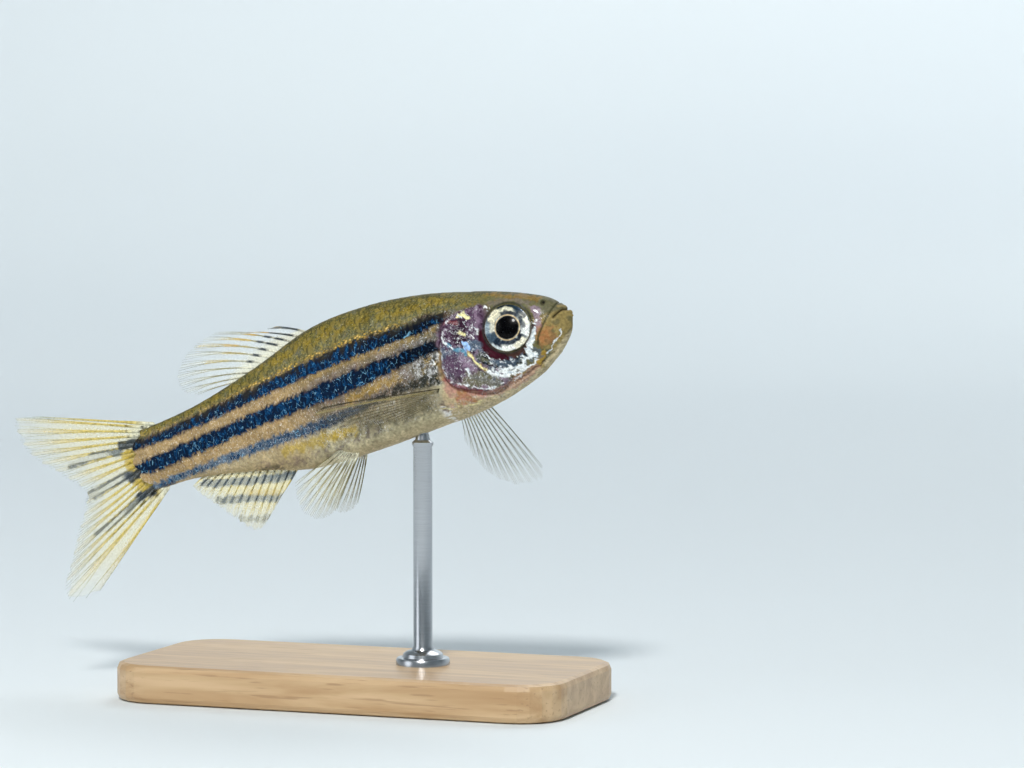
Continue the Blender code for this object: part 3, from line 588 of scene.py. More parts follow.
def surface(back, angle):
    """Places on the plain outline of the body, in the fish's frame, as (back, out, up)."""
    up, out = section(np.minimum(back, 100.0), angle)
    tail_share = np.clip((back - ROOT_BULGE_FROM) / (100.0 - ROOT_BULGE_FROM), 0.0, 1.0)
    back = back - ROOT_BULGE * tail_share * np.cos(angle) ** 2
    return together(back, out, up)


def unit_normal(along, around):
    """Unit normals of a surface, from steps along it and around it."""
    normal = np.cross(along, around)
    return normal / np.maximum(np.linalg.norm(normal, axis=-1, keepdims=True), 1e-9)


def outward(back, angle):
    """Unit normals of the body's outline, in the fish's frame."""
    step = 0.02
    along = surface(back + step, angle) - surface(np.maximum(back - step, 1e-4), angle)
    return unit_normal(along, surface(back, angle + step) - surface(back, angle - step))


def smooth(low, high, x):
    """0 below low, 1 above high, and a soft step between."""
    share = np.clip((np.asarray(x, float) - low) / (high - low), 0.0, 1.0)
    return share * share * (3.0 - 2.0 * share)


def band(x, start, full, fading, end):
    """1 from full to fading, with a soft step down to 0 at the start and at the end."""
    return smooth(start, full, x) * smooth(end, fading, x)


def blended(corner, across, rise):
    """Blend of the values at the four corners of a cell, by the shares of the way across and up it."""
    return ((corner(0, 0) * (1 - across) + corner(1, 0) * across) * (1 - rise)
            + (corner(0, 1) * (1 - across) + corner(1, 1) * across) * rise)


def grain(x, y, size, seed):
    """Smooth noise from 0 to 1 over a plane, with bumps of about the given size."""
    lattice = np.random.default_rng(seed).random((NOISE_COLUMNS, NOISE_ROWS))
    x, y = (np.asarray(value) / size + shift for value, shift in zip((x, y), NOISE_SHIFT))
    column_at, row_at = np.floor(x).astype(int), np.floor(y).astype(int)

    def corner(right, above):
        return lattice[(column_at + right) % NOISE_COLUMNS, (row_at + above) % NOISE_ROWS]

    return blended(corner, smooth(0, 1, x - column_at), smooth(0, 1, y - row_at))


def mottle(x, y, size, seed):
    """Two sizes of noise together."""
    return 0.65 * grain(x, y, size, seed) + 0.35 * grain(x, y, size * 0.45, seed + 1)


def distance(back, up, path):
    """Distance in the side view to a smooth curve through the places of a path."""
    places = np.array(path, float)
    order = np.arange(len(places), dtype=float)
    fine = np.linspace(0, len(places) - 1, 6 * (len(places) - 1) + 1)
    points = np.stack([curve(np.stack([order, measure], 1), fine) for measure in places.T], 1)
    best = np.full(np.shape(back), np.inf)
    for start, end in zip(points, points[1:]):
        run = end - start
        share = np.clip(((back - start[0]) * run[0] + (up - start[1]) * run[1]) / (run @ run), 0, 1)
        best = np.minimum(best, np.hypot(back - start[0] - share * run[0], up - start[1] - share * run[1]))
    return best


def peak(x, at, width):
    """A soft bump: 1 at a value, and falling away over a width on both sides of it."""
    return np.exp(-((x - at) / width) ** 2)


def line(back, up, path, width):
    """A soft stroke: 1 on a path, and falling away over a width on both sides of it."""
    return peak(distance(back, up, path), 0.0, width)


def moved(path, across, rise):
    return [(back + across, up + rise) for back, up in path]


def away_from(back, up, centre):
    return np.hypot(back - centre[0], up - centre[1])


def blot(back, up, centre, size, turn=0.0):
    """A soft oval spot, its long side turned up from the body's axis."""
    x, y = back - centre[0], up - centre[1]
    cosine, sine = math.cos(math.radians(turn)), math.sin(math.radians(turn))
    return np.exp(-((x * cosine + y * sine) / size[0]) ** 2 - ((y * cosine - x * sine) / size[1]) ** 2)


def past_cover(back, up):
    """Distance behind or below the gill cover's margin, negative inside it."""
    x, y = back - COVER_CENTRE[0], up - COVER_CENTRE[1]
    return np.hypot(x, y) - curve(COVER_EDGE, np.degrees(np.arctan2(y, x)))


def cover_margin(back, up):
    """How much of the gill cover's free margin there is in this direction, from 0 to 1."""
    direction = np.degrees(np.arctan2(up - COVER_CENTRE[1], back - COVER_CENTRE[0]))
    return band(direction, -122, -100, 48, 68)


def eye_plane(back, up):
    """Distance from the middle plane of the flat that the eye's rim lies in."""
    return EYE_OUT + EYE_SLOPE * (back - EYE_AT[0]) - EYE_SLOPE * (up - EYE_AT[1])


def scaled_from(up):
    """Station at which the scales begin, for a height."""
    return curve(SCALED_FROM, up)


def relief(back, up, out):
    """How far the skin stands out from the plain outline, in percent."""
    side = np.abs(out)
    past_scales = back - scaled_from(up)
    shape = -SKIN_DEPTH * smooth(-1.0, 1.0, past_scales)

    # The flat round the eye, its raised rim, the fold under it and the socket
    from_eye = away_from(back, up, EYE_AT)
    shape += (eye_plane(back, up) - side) * smooth(6.9, 4.9, from_eye) * 0.92
    shape += 0.08 * peak(from_eye, 4.85, 0.22)
    shape -= 0.30 * peak(from_eye, 5.6, 0.4) * smooth(5.0, 0.5, up)
    shape -= 2.6 * smooth(4.72, 4.35, from_eye)
    shape += 0.12 * band(from_eye, 5.9, 6.4, 8.2, 9.4) * smooth(3.0, -2.0, up)

    # Mouth and jaw, the two nostrils, and the edges of the gill bones
    for height, width, path, across, rise in FOLDS:
        shape += height * line(back, up, moved(path, across, rise), width)
    shape -= 0.4 * blot(back, up, (0.2, -0.7), (1.2, 1.7))
    from_nostril = away_from(back, up, NOSTRIL)
    shape += 0.16 * peak(from_nostril, 0.62, 0.2) - 0.62 * peak(from_nostril, 0.0, 0.4)
    shape -= 0.22 * blot(back, up, (5.75, 4.95), (0.38, 0.26), 30)
    for step in range(THROAT_RAYS):
        ray = moved(BRANCHIOSTEGAL, -0.3 * step, -0.55 - 0.62 * step)
        shape += 0.10 * line(back, up, ray, 0.2) * smooth(-12.6, -10.0, up)
    shape -= 0.30 * peak(side, 0.0, 0.3) * smooth(-6.0, -8.0, up) * band(back, 3, 8, 15, 21)

    # The gill cover's free margin, and the slit behind it
    past, margin = past_cover(back, up), cover_margin(back, up)
    shape += 0.26 * margin * band(past, -3.4, -0.2, -0.06, 0.12)
    shape -= 0.42 * margin * band(past, -0.05, 0.18, 0.2, 1.5)
    on_head = smooth(1.0, -1.0, past_scales) * smooth(4.6, 5.2, from_eye)
    return shape + on_head * 0.05 * (mottle(back, up, 0.8, 41) - 0.5)


def lay(colour, over, amount):
    """Lays a colour, or an array of colours, over others."""
    return colour + (np.asarray(over) - colour) * np.clip(amount, 0.0, 1.0)[..., None]


def layers(colour, *steps):
    """Lays colours over others one after another, each given with its amount."""
    for over, amount in steps:
        colour = lay(colour, over, amount)
    return colour


def plain(colour, shape):
    return np.broadcast_to(np.array(colour), shape + (3,)).copy()


def mark(back, up, path, width, strength=1.0, torn=0.0, seed=0):
    """A painted stroke with a torn edge, from 0 to 1."""
    away = distance(back, up, path) + torn * width * 2.6 * (mottle(back, up, 0.7, 300 + seed) - 0.5)
    return strength * smooth(width * 1.2, width * 0.8, away)


def stripe_masks(back, up, girth):
    """How much of each stripe there is, and how high in it, from 0 at its lower edge to 1."""
    found = []
    for number, (top, low) in enumerate(STRIPES):
        teeth = np.abs((back / SCALE_PITCH * 2.0 + grain(back, girth, 1.5, 90 + number)) % 1.0 - 0.5)
        wave = (teeth - 0.25) * 0.75 + (grain(back, girth, 0.55, 60 + number) - 0.5) * 0.7
        high_edge, low_edge = curve(top, back), curve(low, back)
        inside = smooth(-0.12, 0.12, high_edge + wave - up) * smooth(-0.12, 0.12, up - low_edge + wave * 0.7)
        inside = inside * smooth(top[0][0] - 0.3, top[0][0] + 1.0, back + wave)
        found.append((inside, (up - low_edge) / np.maximum(high_edge - low_edge, 0.1)))
    return found


def paint_back(back, up, girth, above_one, coarse, fine):
    """Olive back with golden patches and a dark crest; above_one is the height above the first stripe."""
    room = np.maximum(body_line(BACK_LINE, back) - curve(STRIPES[0][0], back), 0.5)
    share = above_one / room
    golden = band(share, 0.3, 0.45, 0.75, 0.95)
    crest = smooth(0.66, 0.95, share + (fine - 0.5) * 0.3) * (0.6 + 0.4 * smooth(50, 60, back))
    return layers(
        plain(OLIVE, back.shape),
        (OLIVE_GREY, smooth(0.45, 0.3, share + (coarse - 0.5) * 0.4) * 0.8),
        (GOLD_OLIVE, golden * smooth(0.38, 0.62, coarse) * 0.85),
        (OLIVE_DARK, smooth(0.52, 0.75, fine) * 0.5),
        (OLIVE_DARK, crest),
        (SILVER_GREY, smooth(0.62, 0.8, mottle(back, girth, 0.6, 13)) * 0.4))


def paint_belly(back, up, girth, fine, flecked):
    """Pale belly, mottled and with a painted shadow under the folded pectoral fin at its front, and tan
    behind.
    """
    low_edge = body_line(BELLY_LINE, back)
    tan = smooth(56, 66, back) * smooth(-12.0, -10.0, up) * (0.75 - 0.3 * smooth(70, 80, back))
    return layers(
        plain(BELLY, back.shape),
        (BELLY_SHADE, smooth(0.42, 0.66, fine) * 0.5),
        # Painted shadow under the folded pectoral fin
        (BELLY_SHADE, band(back, 27, 33, 46, 56) * smooth(-10.5, -8.5, up) * 0.8),
        (CHEEK_DARK, flecked * smooth(0.54, 0.68, mottle(back * 0.8, girth, 0.5, 26)) * 0.5),
        (CHIN, smooth(2.4, 0.6, up - low_edge) * 0.7),
        (TAN_BELLY, tan))


def paint_trunk(back, up, girth):
    """Colours and masks behind the head: olive back, stripes with tan between, pale belly."""
    (one, one_height), (two, two_height), (three, _) = stripe_masks(back, up, girth)
    above_one = up - curve(STRIPES[0][0], back)
    coarse, fine = mottle(back, girth, 1.4, 11), mottle(back, girth, 0.55, 12)
    colour = paint_back(back, up, girth, above_one, coarse, fine)

    front = smooth(37, 28, back + 2 * coarse)
    rear = smooth(54, 64, back)
    between = smooth(0.5, -0.3, above_one)
    middle = 0.5 * (curve(STRIPES[0][1], back) + curve(STRIPES[1][0], back))
    upper_half = smooth(-0.4, 0.6, up - middle)
    tan = layers(
        plain(TAN_PALE, back.shape),
        (TAN, rear),
        (GOLD, upper_half * (1.0 - rear) * 0.4),
        (MAUVE_TAN, (1.0 - upper_half) * (1.0 - rear) * smooth(0.35, 0.7, coarse) * 0.8),
        (SILVER_GREY, front * smooth(0.35, 0.6, fine) * 0.7),
        (CHEEK_DARK, front * smooth(0.55, 0.7, mottle(back, girth, 0.4, 14)) * 0.75))

    below_two = curve(STRIPES[1][1], back) - up
    below_three = curve(STRIPES[2][1], back) - up
    network = band(below_two, -0.1, 0.4, 3.8, 7.0) * front
    flecked = band(back, 29, 33, 54, 64) * smooth(-4.6, -5.6, up)
    flecked = flecked * smooth(2.0, 3.6, up - body_line(BELLY_LINE, back))
    colour = layers(
        colour,
        (tan, between),
        (CHEEK_DARK, network * smooth(0.56, 0.44, fine) * 0.8),
        (GOLD, network * smooth(0.5, 0.62, mottle(back, girth, 0.8, 25)) * 0.7),
        (WHITE, network * smooth(0.56, 0.64, mottle(back, girth, 0.38, 15)) * 0.85),
        (BLACK, network * smooth(0.51, 0.60, mottle(back, girth, 0.38, 23)) * 0.9),
        (GOLD, mark(back, up, GOLD_UNDER_TWO, 0.9, 0.65, 0.9, 16)),
        (paint_belly(back, up, girth, fine, flecked), smooth(-0.4, 0.5, below_three)),
        (YELLOW, mark(back, up, YELLOW_FLANK, 0.9, 0.75, 1.0, 17)),
        (YELLOW, mark(back, up, YELLOW_FRONT, 0.45, 0.8, 0.9, 18)),
        (PURPLE, mark(back, up, FOURTH_STRIPE, 0.75, 0.9, 1.6, 19)
         * smooth(0.4, 0.62, mottle(back, girth, 0.45, 20)) * 0.55),
        (CHEEK_DARK, mark(back, up, FOURTH_END, 0.4, 0.6, 1.6, 21)))

    patchy = grain(back * 1.25, girth * 0.6, 1.0, 24) - 0.5
    deep = lay(plain(NAVY, back.shape), NAVY_REAR, smooth(30, 56, back))
    navy = layers(
        deep,
        (STRIPE_BROWN, smooth(0.45, 0.75, one_height + patchy * 0.7) * 0.95),
        (OLIVE_GREY, smooth(0.6, 0.9, one_height) * smooth(0.55, 0.7, fine) * 0.4))
    for mask, dark_colour in ((one, navy), (two, deep)):
        colour = layers(colour, (dark_colour, mask), (BORDER_BROWN, mask * (1.0 - mask) * 2.4))
    broken = np.maximum(smooth(38, 50, back), smooth(0.35, 0.43, mottle(back, girth, 0.5, 22)))
    three = three * broken * (0.93 + 0.07 * smooth(44, 60, back))
    third = lay(deep, PALE_STRIPE, 0.24 + 0.36 * smooth(56, 76, back))
    front_ink = lay(plain(BLACK, back.shape), CHEEK_DARK, 0.3)
    colour = lay(colour, lay(third, front_ink, smooth(48, 40, back)), three)

    azure = np.maximum(one * (0.2 + 0.8 * smooth(0.9, 0.5, one_height + patchy * 1.1)),
                       two * (0.9 - 0.4 * smooth(0.8, 1.0, two_height)))
    azure = azure * (0.55 + 0.45 * smooth(28, 40, back)) * (1.0 - 0.2 * smooth(70, 90, back))
    dark = np.maximum(np.maximum(one, two), three * 0.8)
    pale = 1 - dark
    # Where the material lays dark specks and painted glints
    glitter = between * pale * smooth(42, 35, back) * smooth(-5.5, -4.5, up)
    glitter = np.maximum(glitter, 0.85 * flecked * pale * smooth(0.3, 0.6, coarse))
    return colour, {
        "dark": dark,
        "azure": np.maximum(azure, three * smooth(46, 58, back) * 0.8),
        "copper": between * pale * smooth(-9.0, -6.5, up) * smooth(33, 38, back),
        "sparkle": np.maximum(glitter, 0.5 * three * smooth(44, 54, back)),
        "olive": smooth(-0.1, 0.3, above_one) * pale,
        "bead": peak(above_one, 0.3, 0.6) * smooth(22, 42, back) * (0.9 - 0.4 * smooth(60, 80, back)),
    }


def paint_cheek(colour, back, up, girth, face, coarse, fine):
    """Purple and mauve gill cover, paler and greyer at its lower part."""
    behind_eye = smooth(15, 17, back)
    low_face = face * smooth(15.0, 18.0, back) * smooth(1.0, -2.5, up + (coarse - 0.5) * 4.0)
    streak = grain(back * 1.6, girth * 0.5, 0.6, 36)
    dark_patch = blot(back, up, (22.4, 4.0), (2.2, 3.0), 70)
    return layers(
        colour,
        (PURPLE, face * smooth(14.0, 17.0, back)),
        (GREY_MAUVE, low_face * 0.8),
        (STEEL_BLUE, low_face * smooth(0.40, 0.60, mottle(back, girth, 1.1, 35)) * 0.6),
        (MAUVE_TAN, low_face * smooth(-3.0, -6.0, up) * 0.85),
        (MAUVE, low_face * smooth(0.5, 0.7, streak) * 0.7),
        (PURPLE_DARK, low_face * smooth(0.42, 0.3, streak) * 0.5),
        (PURPLE_DARK, face * behind_eye * smooth(0.54, 0.66, fine) * 0.75),
        (PURPLE_DARK, face * dark_patch * smooth(0.3, 0.5, coarse) * 0.8),
        (MAUVE, face * behind_eye * smooth(0.42, 0.28, fine) * 0.6))


def paint_throat(back, up, past, coarse, fine):
    """Pink and tan flesh behind and below the gill cover, and how much of it there is."""
    there = smooth(-0.1, 0.4, past) * smooth(-3.5, -6.0, up + 0.25 * (27 - back))
    there = there * smooth(32.5, 30.0, back + 2 * fine)
    red = smooth(1.6, 0.2, past) * smooth(22.5, 24.5, back) * smooth(0.35, 0.6, coarse) * 0.5
    return layers(
        plain(PINK, back.shape),
        (TAN, smooth(0.35, 0.55, coarse) * 0.85),
        (CHIN, smooth(0.5, 0.64, fine) * 0.6),
        (CHIN, smooth(28.0, 30.5, back + 2 * coarse) * 0.7),
        (GILL_RED, red)), there


def silver_on_head(back, up, warp_back, warp_up, from_eye):
    """Torn silvery marks round the eye and on the gill cover, from 0 to 1."""
    silver = np.zeros(back.shape)
    for number, (width, strength, torn, path) in enumerate(SILVER_MARKS):
        silver = np.maximum(silver, mark(warp_back, warp_up, path, width, strength, torn, 50 + number))
    holes = mark(back, up, SILVER_HOLES, 0.4, 1.0, 1.8, 80)
    return silver * (1.0 - holes) * smooth(EYE_RADIUS + 0.1, EYE_RADIUS + 0.4, from_eye)


def paint_head(back, up, girth):
    """Colours of the head, and its masks."""
    from_eye = away_from(back, up, EYE_AT)
    from_nostril = away_from(back, up, NOSTRIL)
    past, margin = past_cover(back, up), cover_margin(back, up)
    warp_back = back + 0.7 * (mottle(back, girth, 0.9, 31) - 0.5)
    warp_up = up + 0.7 * (mottle(back, girth, 0.9, 32) - 0.5)
    coarse, fine = mottle(back, girth, 1.3, 33), mottle(back, girth, 0.5, 34)
    crown_edge = body_line(BACK_LINE, back) - up + (fine - 0.5)
    colour = layers(
        plain(CROWN, back.shape),
        (OLIVE_GREY, smooth(0.45, 0.65, coarse) * 0.6),
        (GOLD_OLIVE, smooth(0.55, 0.75, fine) * smooth(9, 14, back) * 0.6),
        (OLIVE_DARK, smooth(1.1, 0.1, crown_edge) * 0.8),
        (SNOUT_GREY, smooth(7.0, 4.5, back) * smooth(0.8, 1.8, up) * 0.8))

    above_face = up - curve(FACE_TOP, back)
    above_chin = up - curve(CHIN_LINE, back)
    face = smooth(0.4, -0.4, above_face + (coarse - 0.5))
    flesh, throat = paint_throat(back, up, past, coarse, fine)
    on_jaw = smooth(8.6, 7.6, back) * smooth(2.2, 1.4, up)
    colour = layers(
        paint_cheek(colour, back, up, girth, face, coarse, fine),
        (JAW_GOLD, smooth(8.6, 7.6, back - 0.35 * up) * smooth(2.4, 1.6, up) * 0.95),
        (CHEEK_DARK, on_jaw * smooth(0.55, 0.75, coarse) * 0.5),
        (OLIVE_GREY, face * blot(back, up, (9.5, -5.6), (3.0, 1.4), 25) * 0.8),
        (flesh, throat),
        (CHIN, smooth(0.4, -0.4, above_chin + (fine - 0.5) * 0.8)),
        (BELLY_SHADE, smooth(0.6, -0.2, above_chin) * smooth(0.5, 0.7, fine) * 0.5))
    for number, (paint_colour, width, strength, torn, path) in enumerate(HEAD_MARKS):
        colour = lay(colour, paint_colour, mark(warp_back, warp_up, path, width, strength, torn, number))

    silver = silver_on_head(back, up, warp_back, warp_up, from_eye)
    blue_under = np.clip(mark(warp_back, warp_up, BLUE_UNDER_EYE, 1.1, 0.6, 1.2, 81) - silver, 0, 1)
    bluish = smooth(0.52, 0.68, mottle(back, girth, 0.35, 37)) * 0.7
    bright = lay(plain(WHITE, back.shape), SILVER_BLUE, bluish)
    slit = band(past, -0.05, 0.1, 0.1, 0.5) * margin
    colour = layers(
        colour,
        # Painted shade in the crease round the eye's rim
        (EYE_SOCKET_SHADE, peak(from_eye, EYE_RADIUS + 0.2, 0.25) * 0.9),
        (STEEL_BLUE, blue_under),
        (bright, silver),
        # Painted shade in the hollows: the mouth's cleft, the groove of the maxilla and the nostril's pit
        (BLACK, line(back, up, CLEFT, 0.2) * 0.85),
        (OLIVE_DARK, line(back, up, MAXILLA, 0.2) * 0.9),
        (OLIVE_GREY, peak(from_nostril, 0.75, 0.3) * 0.8),
        (BLACK, peak(from_nostril, 0.0, 0.42)),
        # The slit behind the gill cover: the gills' red, darkened as a painted shadow under the cover's edge
        (MAROON, slit * (0.15 + 0.45 * smooth(22.0, 25.0, back)) * smooth(-9.6, -8.6, up)))

    inside = smooth(0.3, -0.5, past) * smooth(EYE_RADIUS + 1.2, EYE_RADIUS + 2.2, from_eye)
    # Where the material lays dark specks and painted glints on the head
    sparkle = inside * face * smooth(14.5, 17.5, back) * (0.7 + 0.3 * smooth(0.45, 0.6, coarse))
    sparkle = np.maximum(sparkle, blot(back, up, (6.2, 1.4), (0.9, 2.0), 70))
    sparkle = np.maximum(sparkle, 0.5 * smooth(0.6, 0.0, np.abs(above_chin) - 1.2) * smooth(9, 14, back))
    olive = smooth(0, 1, above_face) * (0.25 + 0.4 * smooth(12, 19, back))
    return colour, {"silver": silver, "sparkle": sparkle, "olive": olive}


def paint(back, up, girth):
    """Colour of the whole skin with its masks, the same for the scales that lie on it."""
    colour = np.zeros(back.shape + (3,))
    masks = {name: np.zeros(back.shape) for name in MASKS}
    on_trunk = smooth(-0.5, 0.5, back - scaled_from(up) + (grain(back, girth, 0.8, 55) - 0.5) * 0.8)
    for part, share in ((paint_trunk, on_trunk), (paint_head, 1.0 - on_trunk)):
        here = share > 0.0
        part_colour, part_masks = part(back[here], up[here], girth[here])
        colour[here] += part_colour * share[here][:, None]
        for name, values in part_masks.items():
            masks[name][here] += values * share[here]
    return colour, masks


def make_mesh(name, vertices, faces, finish):
    """Smooth mesh from places and from arrays of faces, each array of one number of corners."""
    corners = np.concatenate([np.asarray(part).ravel() for part in faces])
    sizes = np.concatenate([np.full(len(part), len(part[0])) for part in faces])
    mesh = bpy.data.meshes.new(name)
    mesh.vertices.add(len(vertices))
    mesh.vertices.foreach_set("co", np.asarray(vertices, np.float32).ravel())
    mesh.loops.add(len(corners))
    mesh.loops.foreach_set("vertex_index", corners.astype(np.int32))
    mesh.polygons.add(len(sizes))
    mesh.polygons.foreach_set("loop_start", (np.cumsum(sizes) - sizes).astype(np.int32))
    mesh.update(calc_edges=True)
    mesh.shade_smooth()
    mesh.materials.append(finish)
    made = bpy.data.objects.new(name, mesh)
    bpy.context.scene.collection.objects.link(made)
    return made


def store(made, name, values):
    """Keeps a number or a triple for every vertex, for the materials to read."""
    values = np.asarray(values, np.float32)
    single = values.ndim == 1
    layer = made.data.attributes.new(name, "FLOAT" if single else "FLOAT_VECTOR", "POINT")
    layer.data.foreach_set("value" if single else "vector", values.ravel())


def dress(made, under, girth, **more):
    """Stores the paint for places of the body that lie under each vertex."""
    colour, masks = paint(under[:, 0], under[:, 2], girth)
    store(made, "paint", colour)
    store(made, "spot", together(under[:, 0], under[:, 1] * 0.6, girth))
    for name, values in {**masks, **more}.items():
        store(made, name, values)


def store_map(made, corner_places):
    layer = made.data.uv_layers.new(name="OFBake")
    layer.data.foreach_set("uv", np.asarray(corner_places, np.float32).ravel())


def between_rows(table, row, place_in_row):
    """Value of a table at fractional places, by straight lines between its entries."""
    row = np.clip(row, 0, table.shape[0] - 1.001)
    place_in_row = np.clip(place_in_row, 0, table.shape[1] - 1.001)
    whole_row, whole_place = row.astype(int), place_in_row.astype(int)

    def corner(below, after):
        return table[whole_row + below, whole_place + after]

    return blended(corner, row - whole_row, place_in_row - whole_place)


def build_tables():
    """Distance round the skin from mid flank for an angle, and the angle for a distance."""
    angles = np.linspace(-TABLE_OVER, math.pi + TABLE_OVER, TABLE_ANGLES)
    girths, turned = [], []
    for back in np.arange(0.0, 101.5, TABLE_STEP):
        up, out = section(min(max(back, 0.01), 100.0), angles)
        run = np.concatenate([[0.0], np.cumsum(np.hypot(np.diff(up), np.diff(out)))])
        girth = np.interp(math.pi / 2, angles, run) - run
        girths.append(girth)
        turned.append(np.interp(-np.arange(-GIRTH_LIMIT, GIRTH_LIMIT, TABLE_STEP), -girth, angles))
    return np.array(girths), np.array(turned)


GIRTHS, TURNED = build_tables()


def girth_at(back, angle):
    """Distance round the skin from mid flank, for a station and an angle."""
    place_in_row = (angle + TABLE_OVER) / (math.pi + 2 * TABLE_OVER) * (TABLE_ANGLES - 1)
    return between_rows(GIRTHS, back / TABLE_STEP, place_in_row)


def angle_for(back, girth):
    """Angle round the body, for a station and a distance round the skin."""
    return between_rows(TURNED, back / TABLE_STEP, (girth + GIRTH_LIMIT) / TABLE_STEP)


def skin_stations():
    """Stations of the skin's rings, closest together on the head."""
    head = HEAD_END * (np.arange(1, HEAD_STATIONS + 1) / HEAD_STATIONS) ** HEAD_CROWDING
    trunk = np.linspace(HEAD_END, 100.0, TRUNK_STATIONS + 1)[1:]
    return np.concatenate([head, trunk])


def build_skin(finish):
    """One closed skin from snout to tail root, ring by ring, with its map."""
    angle = np.arange(SEGMENTS) * math.tau / SEGMENTS
    back, angles = np.meshgrid(skin_stations(), angle, indexing="ij")
    places = surface(back, angles)
    places = places + outward(back, angles) * relief(back, places[..., 2], places[..., 1])[..., None]
    half_turn = np.minimum(angles, math.tau - angles)
    girth = girth_at(back, half_turn) + FAR_SIDE * (angles < math.pi)
    roots = []
    for step in range(1, ROOT_STATIONS + 1):
        bend = step / ROOT_STATIONS * math.pi / 2
        ring = places[-1].copy()
        ring[:, 0] += ROOT_LENGTH * math.sin(bend)
        ring[:, 1] *= ROOT_PINCH + (1.0 - ROOT_PINCH) * math.cos(bend)
        roots.append(ring)
    places = np.concatenate([places, np.array(roots)])
    girth = np.concatenate([girth, np.repeat(girth[-1:], ROOT_STATIONS, axis=0)])
    rings = len(places)
    index = np.arange(rings * SEGMENTS).reshape(rings, SEGMENTS)
    following = np.roll(index, -1, axis=1)
    tip, last = rings * SEGMENTS, rings * SEGMENTS + 1
    flat = np.concatenate([places.reshape(-1, 3), [[-0.02, 0.0, BACK_LINE[0][1]]], places[-1].mean(0)[None]])
    girth = np.concatenate([girth.ravel(), [0.0, 0.0]])
    quads = np.stack([index[:-1], index[1:], following[1:], following[:-1]], -1).reshape(-1, 4)
    front = np.stack([np.full(SEGMENTS, tip), index[0], following[0]], -1)
    rear = np.stack([np.full(SEGMENTS, last), following[-1], index[-1]], -1)
    made = make_mesh("skin", place(*flat.T), [quads, front, rear], finish)
    dress(made, flat, girth)
    row, turn = np.meshgrid(np.arange(rings - 1), np.arange(SEGMENTS), indexing="ij")
    corner = together(together(row, row + 1, row + 1, row) / (rings - 1),
                      together(turn, turn, turn + 1, turn + 1) / SEGMENTS).reshape(-1, 2)
    turn = np.arange(SEGMENTS)
    caps = [together(edge, together(*order) / SEGMENTS).reshape(-1, 2)
            for edge, order in ((0.0, (turn, turn, turn + 1)), (1.0, (turn, turn + 1, turn)))]
    store_map(made, np.concatenate([corner, *caps]))
    return made


def scale_roots():
    """Root station and girth of each scale of one flank, row by row."""
    rng = np.random.default_rng(7)
    found = []
    rows = int(GIRTH_LIMIT / ROW_PITCH)
    margin = 0.55 * ROW_PITCH
    for row in range(-rows, rows + 1):
        for column_number in range(SCALE_COLUMNS):
            back = SCALES_FROM + (column_number + 0.5 * (row % 2)) * SCALE_PITCH + rng.uniform(-0.1, 0.1)
            girth = row * ROW_PITCH + rng.uniform(-0.08, 0.08)
            top, low = (float(girth_at(np.array(back), np.array(angle))) for angle in (0.0, math.pi))
            if back > SCALES_TO or girth > top - margin or girth < low + margin:
                continue
            up = float(section(back, float(angle_for(np.array(back), np.array(girth))))[0])
            if back > scaled_from(up) + 0.4:
                found.append((back, girth))
    return np.array(found)


def all_roots():
    """Roots of every scale, its side, and 1 for those in the rows along the back and the belly."""
    flank_roots = scale_roots()
    sides = [np.full(len(flank_roots), side) for side in (-1.0, 1.0)]
    roots = [flank_roots, flank_roots]
    for angle, first in MEDIAN_ROWS:
        middle = np.arange(first, 99.5, SCALE_PITCH)
        roots.append(np.stack([middle, girth_at(middle, np.full(len(middle), angle))], 1))
        sides.append(np.full(len(middle), -1.0))
    root, side = np.concatenate(roots), np.concatenate(sides)
    return root, side, (np.arange(len(root)) >= 2 * len(flank_roots)) * 1.0


